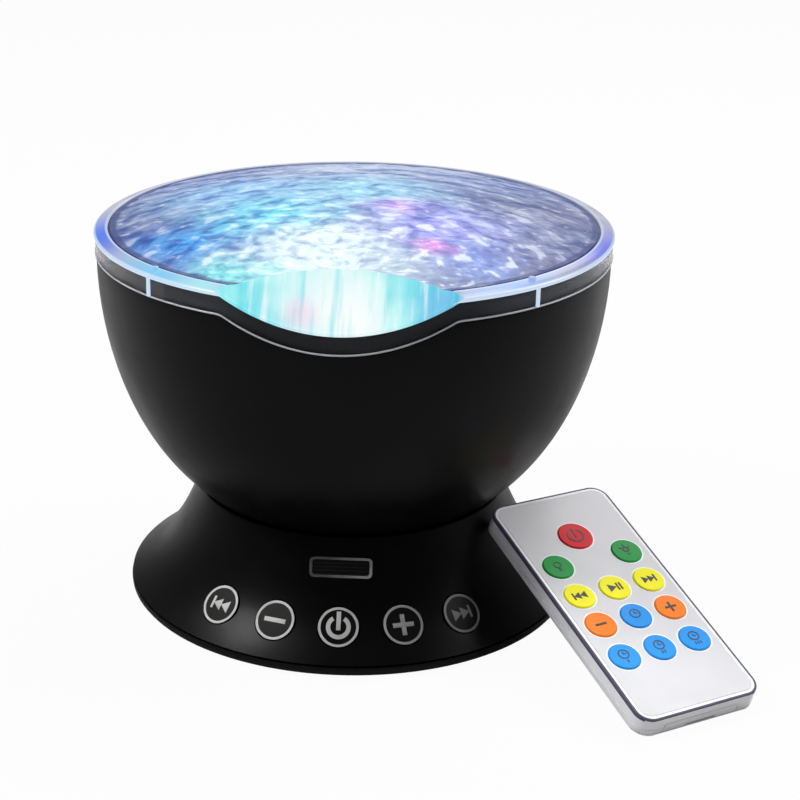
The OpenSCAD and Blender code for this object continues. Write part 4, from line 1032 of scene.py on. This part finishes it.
class PROJECTOR_OT_foot(bpy.types.Operator):
    """Makes the foot with its key holes and socket bay, its plate and its keys"""
    bl_idname = "projector.foot"
    bl_label = "Foot"

    def execute(self, context):
        shell = context.scene.projector_shell
        foot = ring_skin("foot_body", shell.columns, foot_profile)
        tools = [seat(drum(KEY_R + KEY_GAP, -4, 4), on_flank(KEY_Z, math.radians(KEY_STEP * i)))
                 for i in range(-2, 3)]
        tools.append(seat(rounded_slab(WIN_W + 0.3, WIN_H + 0.3, 1.0, -4, 4), on_flank(WIN_Z, 0)))
        tools += [block(*SOCKET_MOUTH), drum(BOLT_HOLE_R, 5, 25)]
        cut(foot, tools)
        foot = join([foot, self.socket_wall()], "foot_body")
        even_out(foot)
        dress(foot, "base", "black_plastic", ["base_shell"])
        plate = skin_of("base_plate", "base_plate_skin", 28)
        dress(plate, "base", "black_plate", ["base_plate"])
        cap = [(0, -5.8), (1.7, -5.8), (1.7, -3.5), (KEY_R + 0.8, -3.5), (KEY_R + 0.8, -2.9),
               (KEY_R, -2.9), (KEY_R, -0.9), (KEY_R, 0.1), (KEY_R - 0.04, 0.2),
               (KEY_R - 0.14, 0.28), (KEY_R - 0.3, KEY_PROUD), (0, KEY_PROUD)]
        for i, key in enumerate(FOOT_KEYS):
            body = turned("key_" + key + "_cap", cap)
            seat(body, on_flank(KEY_Z, math.radians(KEY_STEP * (i - 2))))
            even_out(body, 28)
            dress(body, "key_" + key, "black_keys", ["key_" + key])
        return {'FINISHED'}

    def socket_wall(self):
        """The wall that the sockets stand in, cut to the inside of the flank."""
        wall = ring_skin("socket_wall", 120, lambda azimuth: [(0, PART_Z)] + [
            flank_point(i / 16, 0.3)[0] for i in range(13)] + [(0, 22.0)])
        cut(wall, [block(-BAY_W / 2 - 2, BAY_W / 2 + 2, BAY_Y - 2.4, BAY_Y, PART_Z - 1, 30)],
            'INTERSECT')
        socket = drum(3.1, -5, 6, sides=48, turn=(-math.pi / 2, 0, 0))
        socket.location = ((BAY_W / 2 - 9) * MM, (BAY_Y - 4.5) * MM, (BOARD_Z + 4.1) * MM)
        return cut(wall, [block(*USB_MOUTH), settle(socket)])


class PROJECTOR_OT_cover(bpy.types.Operator):
    """Makes the clear cover: collar, lit rim, rippled dome and lip"""
    bl_idname = "projector.cover"
    bl_label = "Cover"

    def execute(self, context):
        shell = context.scene.projector_shell
        self.dome(shell)
        self.lip()
        self.collar(shell)
        self.ledge(shell)
        self.lines(shell)
        self.ribs()
        return {'FINISHED'}

    def dome(self, shell):
        rings = 118

        def profile(azimuth):
            edge = min(DOME_EDGE_R, lip_inner_radius(azimuth))
            points = [(edge, top_height(edge) - 1.2)]
            for i in range(rings + 1):
                r = edge * (1 - i / rings)
                points.append((r, top_height(r) - 0.45 * min(1.0, (edge - r) / 2)))
            return points

        dome = ring_skin("cover_dome", shell.columns, profile)
        group = dome.vertex_groups.new(name="ripples")
        for vertex in dome.data.vertices:
            x, y, _ = vertex.co / MM
            edge = min(DOME_EDGE_R, lip_inner_radius(math.atan2(x, -y)))
            weight = max(0.0, min(1.0, (edge - math.hypot(x, y)) / 2))
            group.add([vertex.index], weight, 'REPLACE')
        waves = bpy.data.textures.new("ripples", 'CLOUDS')
        waves.noise_scale = shell.ripple_size
        waves.noise_depth = 1
        modify(dome, 'DISPLACE', texture=waves, strength=shell.ripple, mid_level=0.5,
               direction='Z', texture_coords='LOCAL', vertex_group="ripples")
        modify(dome, 'SOLIDIFY', thickness=COVER_SKIN * MM, offset=-1)
        smooth(dome, 60)
        dress(dome, "bowl", "wave_light", ["ripple_cover"])

    def lip(self):
        rows = 24

        def profile(azimuth):
            inner = lip_inner_radius(azimuth)
            steps = [inner + (COLLAR_R - 0.2 - inner) * i / rows for i in range(rows + 1)]
            return [(r, lip_height(r, azimuth)) for r in steps]

        lip = ring_skin("cover_lip", 120, profile, -CORNER, CORNER)
        if lip.data.polygons[0].normal.z < 0:
            edit(lip, lambda: bpy.ops.mesh.flip_normals())
        modify(lip, 'SOLIDIFY', thickness=COVER_SKIN * MM, offset=-1)
        smooth(lip, 40)
        dress(lip, "bowl", "lip_light")

    def collar(self, shell):
        def wall(outer, inner, drop):
            def profile(azimuth):
                low = rim_low(azimuth) + EDGE_GAP
                high = min(COLLAR_TOP - 0.5, lip_height(COLLAR_R, azimuth)) - drop
                return [(outer, low), (outer, low + (high - low) / 3),
                        (outer, low + (high - low) * 2 / 3), (outer, high - 0.3),
                        (outer - 0.2, high), (inner + 0.2, high), (inner, high - 0.2),
                        (inner, low), (outer, low)]
            return profile

        collar = ring_skin("cover_collar", shell.columns, wall(COLLAR_R, COLLAR_R - 1.2, 0.05))
        smooth(collar, 40)
        dress(collar, "bowl", "collar_clear")
        backing = ring_skin("collar_painted_shading_sheet", shell.columns,
                            wall(COLLAR_R - 1.5, COLLAR_R - 2.3, 0.5))
        smooth(backing, 40)
        dress(backing, "bowl", "backing")

    def ledge(self, shell):
        """The sloping band round the dome, and the groove inside it, painted dark navy as shade."""
        start = lip_bearing(COLLAR_R, COLLAR_TOP - 0.9)

        def under_lip(points):
            def profile(azimuth):
                return [(r, min(z, lip_height(r, azimuth) - 0.03)) for r, z in points]
            return profile

        low = COLLAR_TOP - 0.9
        band = [(LEDGE_IN, low), (COLLAR_R + 0.02, low), (COLLAR_R + 0.3, low + 0.2),
                (COLLAR_R + 0.4, low + 0.45), (COLLAR_R + 0.4, COLLAR_TOP - 0.1),
                (COLLAR_R + 0.3, COLLAR_TOP + 0.16), (COLLAR_R, COLLAR_TOP + 0.4),
                (COLLAR_R - 1.5, COLLAR_TOP + 0.88), (LEDGE_IN + 0.6, LEDGE_TOP - 0.02),
                (LEDGE_IN + 0.3, LEDGE_TOP), (LEDGE_IN, LEDGE_TOP - 0.2), (LEDGE_IN, low)]
        ledge = ring_skin("cover_rim", shell.columns, under_lip(band), start, 2 * math.pi - start)
        smooth(ledge, 50)
        dress(ledge, "bowl", "edge_light")
        floor = LEDGE_TOP - 0.6
        groove = [(LEDGE_IN + 0.1, floor), (DOME_EDGE_R - 0.2, floor),
                  (DOME_EDGE_R - 0.2, floor - 0.5), (LEDGE_IN + 0.1, floor - 0.5),
                  (LEDGE_IN + 0.1, floor)]
        gap = ring_skin("cover_groove", shell.columns, under_lip(groove), start,
                        2 * math.pi - start)
        dress(gap, "bowl", "groove_painted_shade")

    def lines(self, shell):
        """The bright lower edge of the collar, and the lip's lower edge in the lip's painted glow.
        """
        line = ring_skin("collar_foot_line", shell.columns, lambda azimuth: tube_profile(
            COLLAR_R - 0.05, rim_low(azimuth) + EDGE_GAP + 0.2, 0.27))
        smooth(line, 60)
        dress(line, "bowl", "collar_line")
        line = ring_skin("lip_edge_line", 120, lambda azimuth: tube_profile(
            COLLAR_R - 0.1, lip_height(COLLAR_R, azimuth), 0.36), -CORNER, CORNER)
        smooth(line, 60)
        dress(line, "bowl", "lip_light")

    def ribs(self):
        for i, azimuth in enumerate((SNAP_AZ, -SNAP_AZ, 180 - SNAP_AZ, SNAP_AZ - 180)):
            rib = block(-0.55, 0.55, -RIM_R - 0.8, -RIM_R - 0.05, RIM_Z + 0.4, COLLAR_TOP + 0.35)
            modify(rib, 'BEVEL', width=0.0002, segments=3)
            parts = [rib]
            if i < 2:
                nub = drum(1.0, COLLAR_TOP - 0.4, COLLAR_TOP + 2.0, y=2 - RIM_R, sides=40)
                modify(nub, 'BEVEL', width=0.0003, segments=3)
                parts.append(nub)
            piece = join(parts, "cover_snap_%d" % (i + 1))
            piece.rotation_euler = (0, 0, math.radians(azimuth))
            settle(piece)
            smooth(piece, 40)
            # The ribs carry the rim's painted glow
            dress(piece, "bowl", "edge_light")


class PROJECTOR_OT_key_prints(bpy.types.Operator):
    """Prints the rings and marks on the foot's keys"""
    bl_idname = "projector.key_prints"
    bl_label = "Key prints"

    def execute(self, context):
        prints = context.scene.projector_print
        stroke, ring = prints.stroke, prints.ring_width
        for i, key in enumerate(FOOT_KEYS):
            marks = Print().arc(KEY_R - 0.14 - ring / 2, ring)
            if key == "power":
                power_mark(marks, 2.9, stroke * 0.95, 4.5, -0.9)
            elif key == "minus":
                marks.bar(6.4, stroke)
            elif key == "plus":
                marks.bar(6.1, stroke).bar(stroke, (6.1 - stroke) / 2, 0, (6.1 + stroke) / 4)
                marks.bar(stroke, (6.1 - stroke) / 2, 0, -(6.1 + stroke) / 4)
            else:
                skip_mark(marks, 2.1, 1 if key == "next" else -1)
            place = on_flank(KEY_Z, math.radians(KEY_STEP * (i - 2)))
            place = place @ Matrix.Translation((0, 0, KEY_PROUD * MM))
            marks.set_on("print_key_" + key, place, "key_" + key, "print_white")
        return {'FINISHED'}


class PROJECTOR_OT_window(bpy.types.Operator):
    """Makes the infrared window: smoked glass in a moulded edge with a painted highlight"""
    bl_idname = "projector.window"
    bl_label = "Infrared window"

    def execute(self, context):
        place = on_flank(WIN_Z, 0)
        glass = rounded_slab(WIN_W - 0.9, WIN_H - 0.9, 0.8, -FOOT_WALL - 0.4, -0.15, 0.15)
        glass.name = glass.data.name = "ir_window_glass"
        seat(glass, place)
        smooth(glass, 30)
        dress(glass, "base", "window_glass", ["ir_window"])
        edge = rounded_slab(WIN_W, WIN_H, 1.3, -1.4, 0.2, 0.15)
        cut(edge, [rounded_slab(WIN_W - 1.5, WIN_H - 1.5, 0.8, -2, 1)])
        edge.name = edge.data.name = "ir_window_edge"
        seat(edge, place)
        even_out(edge, 30)
        dress(edge, "base", "window_edge")
        return {'FINISHED'}


# For each remote key: column, row, mark
REMOTE_KEYS = {
    "power": (0, 0, lambda m: power_mark(m, 2.4, 0.5, 2.9, -0.6)),
    "lamp_a": (-1, 1, lambda m: m.arc(1.05, 0.34, 0, 0.6).bar(1.0, 0.32, 0, -1.0)
               .bar(0.7, 0.32, 0, -1.6)),
    "lamp_b": (1, 1, lambda m: m.arc(0.85, 0.55, 0, 0.5).bar(0.34, 0.9, 0, 2.1)
               .bar(0.34, 0.9, 1.45, 1.3, -50).bar(0.34, 0.9, -1.45, 1.3, 50)
               .bar(1.0, 0.32, 0, -1.4)),
    "previous": (-1, 2, lambda m: skip_mark(m, 1.5, -1)),
    "play": (0, 2, lambda m: m.arrow(1.7, -1.1, 0).bar(0.55, 2.7, 1.0, 0)
             .bar(0.55, 2.7, 2.0, 0)),
    "next": (1, 2, lambda m: skip_mark(m, 1.5, 1)),
    "quieter": (-1, 3, lambda m: m.bar(3.6, 0.7)),
    "clock": (0, 3, lambda m: clock_mark(m, 0)),
    "louder": (1, 3, lambda m: m.bar(3.6, 0.7).bar(0.7, 1.45, 0, 1.075)
               .bar(0.7, 1.45, 0, -1.075)),
    "timer_1": (-1, 4, lambda m: clock_mark(m, 1)),
    "timer_2": (0, 4, lambda m: clock_mark(m, 2)),
    "timer_3": (1, 4, lambda m: clock_mark(m, 3)),
}


class PROJECTOR_OT_remote(bpy.types.Operator):
    """Makes the remote's case and face and prints its keys"""
    bl_idname = "projector.remote"
    bl_label = "Remote"

    def execute(self, context):
        normal = -joint_axis("remote_key_power_press")
        up = -joint_axis("battery_drawer_slide")
        self.place = Matrix((up.cross(normal), up, normal)).transposed().to_4x4()
        self.place.translation = face_centre("remote_face", normal) - normal * (RC_T + 0.05) * MM
        self.cases()
        self.face()
        for key, (column, row, draw) in REMOTE_KEYS.items():
            node = "remote_key_" + key
            marks = Print()
            draw(marks)
            spot = Matrix.Translation((RC_COL * column * MM, self.key_y(row) * MM, RC_MARK_Z * MM))
            marks.set_on("print_" + node, self.place @ spot, node, "print_dark")
        return {'FINISHED'}

    def key_y(self, row):
        return RC_L / 2 - RC_ROWS[row]

    def key_tools(self, gap, z0, z1):
        return [drum((RC_KEY_R if row else RC_POWER_R) + gap, z0, z1, RC_COL * column,
                     self.key_y(row), 64) for column, row, _ in REMOTE_KEYS.values()]

    def finish_piece(self, obj, name, finish, slot=None, replaces=()):
        obj.name = obj.data.name = name
        seat(obj, self.place)
        even_out(obj, 30)
        return dress(obj, "remote", finish, replaces)

    def cases(self):
        top = rounded_slab(RC_W - 0.16, RC_L - 0.16, RC_CORNER, RC_SPLIT + 0.05, RC_T, 0.5)
        cut(top, [remote_slab(RC_WALL, 0, RC_T - 1)])
        cut(top, [remote_slab(RC_RIM, RC_T - RC_SINK, RC_T + 2)])
        cut(top, self.key_tools(0.2, 2, 12))
        eye = drum(1.6, -4, 4, sides=40, turn=(math.pi / 2, 0, 0))
        eye.location = (0, (RC_L / 2 + 1) * MM, 3.1 * MM)
        cut(top, [settle(eye)])
        cut(top, [block(*DRAWER_MOUTH)])
        self.finish_piece(top, "remote_top_shell", "remote_white", "remote_white",
                          ["remote_top_case"])
        skin = skin_of("remote_bottom_case", "remote_bottom_shell", 30)
        dress(skin, "remote", "remote_white", ["remote_bottom_case"])
        # A slate band along the top case's outer edge: painted shade of the remote's outline
        line = rounded_slab(RC_W - 0.12, RC_L - 0.2, RC_CORNER, RC_T - 1.0, RC_T + 0.03, 0.45)
        cut(line, [remote_slab(RC_LINE, RC_T - 2, RC_T + 2)])
        self.finish_piece(line, "remote_painted_edge_shade", "painted_edge_shade_slate")

    def face(self):
        face = remote_slab(RC_FACE, RC_T - RC_SINK, RC_T + 0.05)
        cut(face, self.key_tools(0.15, 2, 12))
        self.finish_piece(face, "remote_face_sheet", "remote_grey", "remote_grey", ["remote_face"])
        rings = []
        for column, row, _ in REMOTE_KEYS.values():
            r = RC_POWER_R if row == 0 else RC_KEY_R
            outline = ((0.05, -0.8), (0.5, -0.8), (0.5, 0.05), (0.42, 0.09), (0.1, 0.09),
                       (0.05, 0.05), (0.05, -0.8))
            ring = turned("halo", [(r + out, RC_T + up) for out, up in outline], 72)
            ring.location = (RC_COL * column * MM, self.key_y(row) * MM, 0)
            rings.append(settle(ring))
        self.finish_piece(join(rings, "halos"), "remote_key_rings", "halo_white")


class PROJECTOR_OT_stage(bpy.types.Operator):
    """Sets the floor, the light and the camera"""
    bl_idname = "projector.stage"
    bl_label = "Stage"

    def execute(self, context):
        stage = context.scene.projector_stage
        self.floor(stage)
        self.world()
        lamps = (("key_light", (-0.70, -0.22, 0.88), 0.34, stage.key_power),
                 ("fill_light", (0.95, 0.2, 0.75), 0.5, stage.fill_power),
                 ("top_light", (0.35, 0.4, 1.1), 0.5, stage.top_power),
                 ("back_light", (0.1, 0.9, 0.8), 0.6, stage.fill_power / 3))
        for name, place, size, power in lamps:
            light = bpy.data.lights.new(name, 'AREA')
            light.size, light.energy = size, power
            lamp = bpy.data.objects.new(name, light)
            context.scene.collection.objects.link(lamp)
            lamp.location = place
            towards = Vector(LAMP_AIM) - Vector(place)
            lamp.rotation_euler = towards.to_track_quat('-Z', 'Y').to_euler()
        self.camera(context)
        context.scene.view_settings.view_transform = 'Standard'
        return {'FINISHED'}

    def floor(self, stage):
        deselect()
        bpy.ops.mesh.primitive_plane_add(size=40, location=(0, 0, -0.0002))
        floor = bpy.context.object
        floor.name = "floor"
        settle(floor)
        f = Finish("studio_floor", Roughness=0.7, Specular_IOR_Level=0.0)
        f.shader.inputs["Base Color"].default_value = stage.floor_colour
        path = f.add("LightPath")
        glow = f.add("Emission")
        share = f.add("Math", operation='MULTIPLY')
        share.inputs[1].default_value = FLOOR_SHARE
        f.link(path.outputs["Is Camera Ray"], share.inputs[0])
        mixed = f.add("MixShader")
        f.link(share.outputs[0], mixed.inputs["Fac"])
        f.link(f.shader.outputs["BSDF"], mixed.inputs[1])
        f.link(glow.outputs["Emission"], mixed.inputs[2])
        f.link(mixed.outputs["Shader"], f.tree.nodes["Material Output"].inputs["Surface"])
        floor.data.materials.append(f.material)

    def world(self):
        """White where the camera sees it, and a soft light that is stronger from behind."""
        world = bpy.data.worlds.new("studio")
        bpy.context.scene.world = world
        world.use_nodes = True
        tree = world.node_tree
        back, end = tree.nodes["Background"], tree.nodes["World Output"]
        plain, path, seen, mixed, place, parts, tone = (
            tree.nodes.new("ShaderNode" + kind)
            for kind in ("Background", "LightPath", "Math", "MixShader", "TexCoord",
                         "SeparateXYZ", "MapRange"))
        seen.operation = 'MAXIMUM'
        for node in (back, plain):
            node.inputs["Color"].default_value = (1, 1, 1, 1)
        plain.inputs["Strength"].default_value = 1.0
        for name, value in (("From Min", -0.6), ("From Max", 0.6),
                            ("To Min", WORLD_FRONT), ("To Max", WORLD_BACK)):
            tone.inputs[name].default_value = value
        for source, target in (
                (place.outputs["Generated"], parts.inputs[0]),
                (parts.outputs["Y"], tone.inputs["Value"]),
                (tone.outputs["Result"], back.inputs["Strength"]),
                (path.outputs["Is Camera Ray"], seen.inputs[0]),
                (path.outputs["Is Transmission Ray"], seen.inputs[1]),
                (seen.outputs[0], mixed.inputs["Fac"]),
                (back.outputs[0], mixed.inputs[1]), (plain.outputs[0], mixed.inputs[2]),
                (mixed.outputs[0], end.inputs["Surface"])):
            tree.links.new(source, target)

    def camera(self, context):
        data = bpy.data.cameras.new("camera")
        data.lens = CAMERA_LENS
        data.sensor_width = 36
        data.shift_x, data.shift_y = CAMERA_SHIFT
        camera = bpy.data.objects.new("camera", data)
        context.scene.collection.objects.link(camera)
        flat = math.cos(CAMERA_ELEVATION)
        aim = Vector(CAMERA_AIM)
        camera.location = aim + CAMERA_DISTANCE * Vector((
            math.sin(CAMERA_AZIMUTH) * flat, -math.cos(CAMERA_AZIMUTH) * flat,
            math.sin(CAMERA_ELEVATION)))
        look = (aim - camera.location).to_track_quat('-Z', 'Y').to_matrix().to_4x4()
        camera.rotation_euler = (look @ Matrix.Rotation(CAMERA_ROLL, 4, 'Z')).to_euler()
        context.scene.camera = camera


class PROJECTOR_PT_panel(bpy.types.Panel):
    """Lists the projector's pieces"""
    bl_idname = "PROJECTOR_PT_panel"
    bl_label = "Ocean wave projector"
    bl_space_type = 'VIEW_3D'
    bl_region_type = 'UI'
    bl_category = "Projector"

    def draw(self, context):
        for operator in OPERATORS:
            self.layout.operator(operator.bl_idname)
        for group in ("projector_shell", "projector_print", "projector_stage"):
            settings = getattr(context.scene, group)
            for key in settings.__annotations__:
                self.layout.prop(settings, key)


OPERATORS = (PROJECTOR_OT_finishes, PROJECTOR_OT_bowl, PROJECTOR_OT_foot, PROJECTOR_OT_cover,
             PROJECTOR_OT_key_prints, PROJECTOR_OT_window, PROJECTOR_OT_remote,
             PROJECTOR_OT_stage)
GROUPS = {"projector_shell": ShellSettings, "projector_print": PrintSettings,
          "projector_stage": StageSettings}


def register():
    for kind in (*GROUPS.values(), *OPERATORS, PROJECTOR_PT_panel):
        bpy.utils.register_class(kind)
    for name, kind in GROUPS.items():
        setattr(bpy.types.Scene, name, bpy.props.PointerProperty(type=kind))


def unregister():
    for name in GROUPS:
        delattr(bpy.types.Scene, name)
    for kind in (*GROUPS.values(), *OPERATORS, PROJECTOR_PT_panel):
        bpy.utils.unregister_class(kind)


def main():
    """Makes every piece, in order."""
    register()
    bpy.ops.projector.finishes()
    bpy.ops.projector.bowl()
    bpy.ops.projector.foot()
    bpy.ops.projector.cover()
    bpy.ops.projector.key_prints()
    bpy.ops.projector.window()
    bpy.ops.projector.remote()
    bpy.ops.projector.stage()


if __name__ == "__main__":
    main()
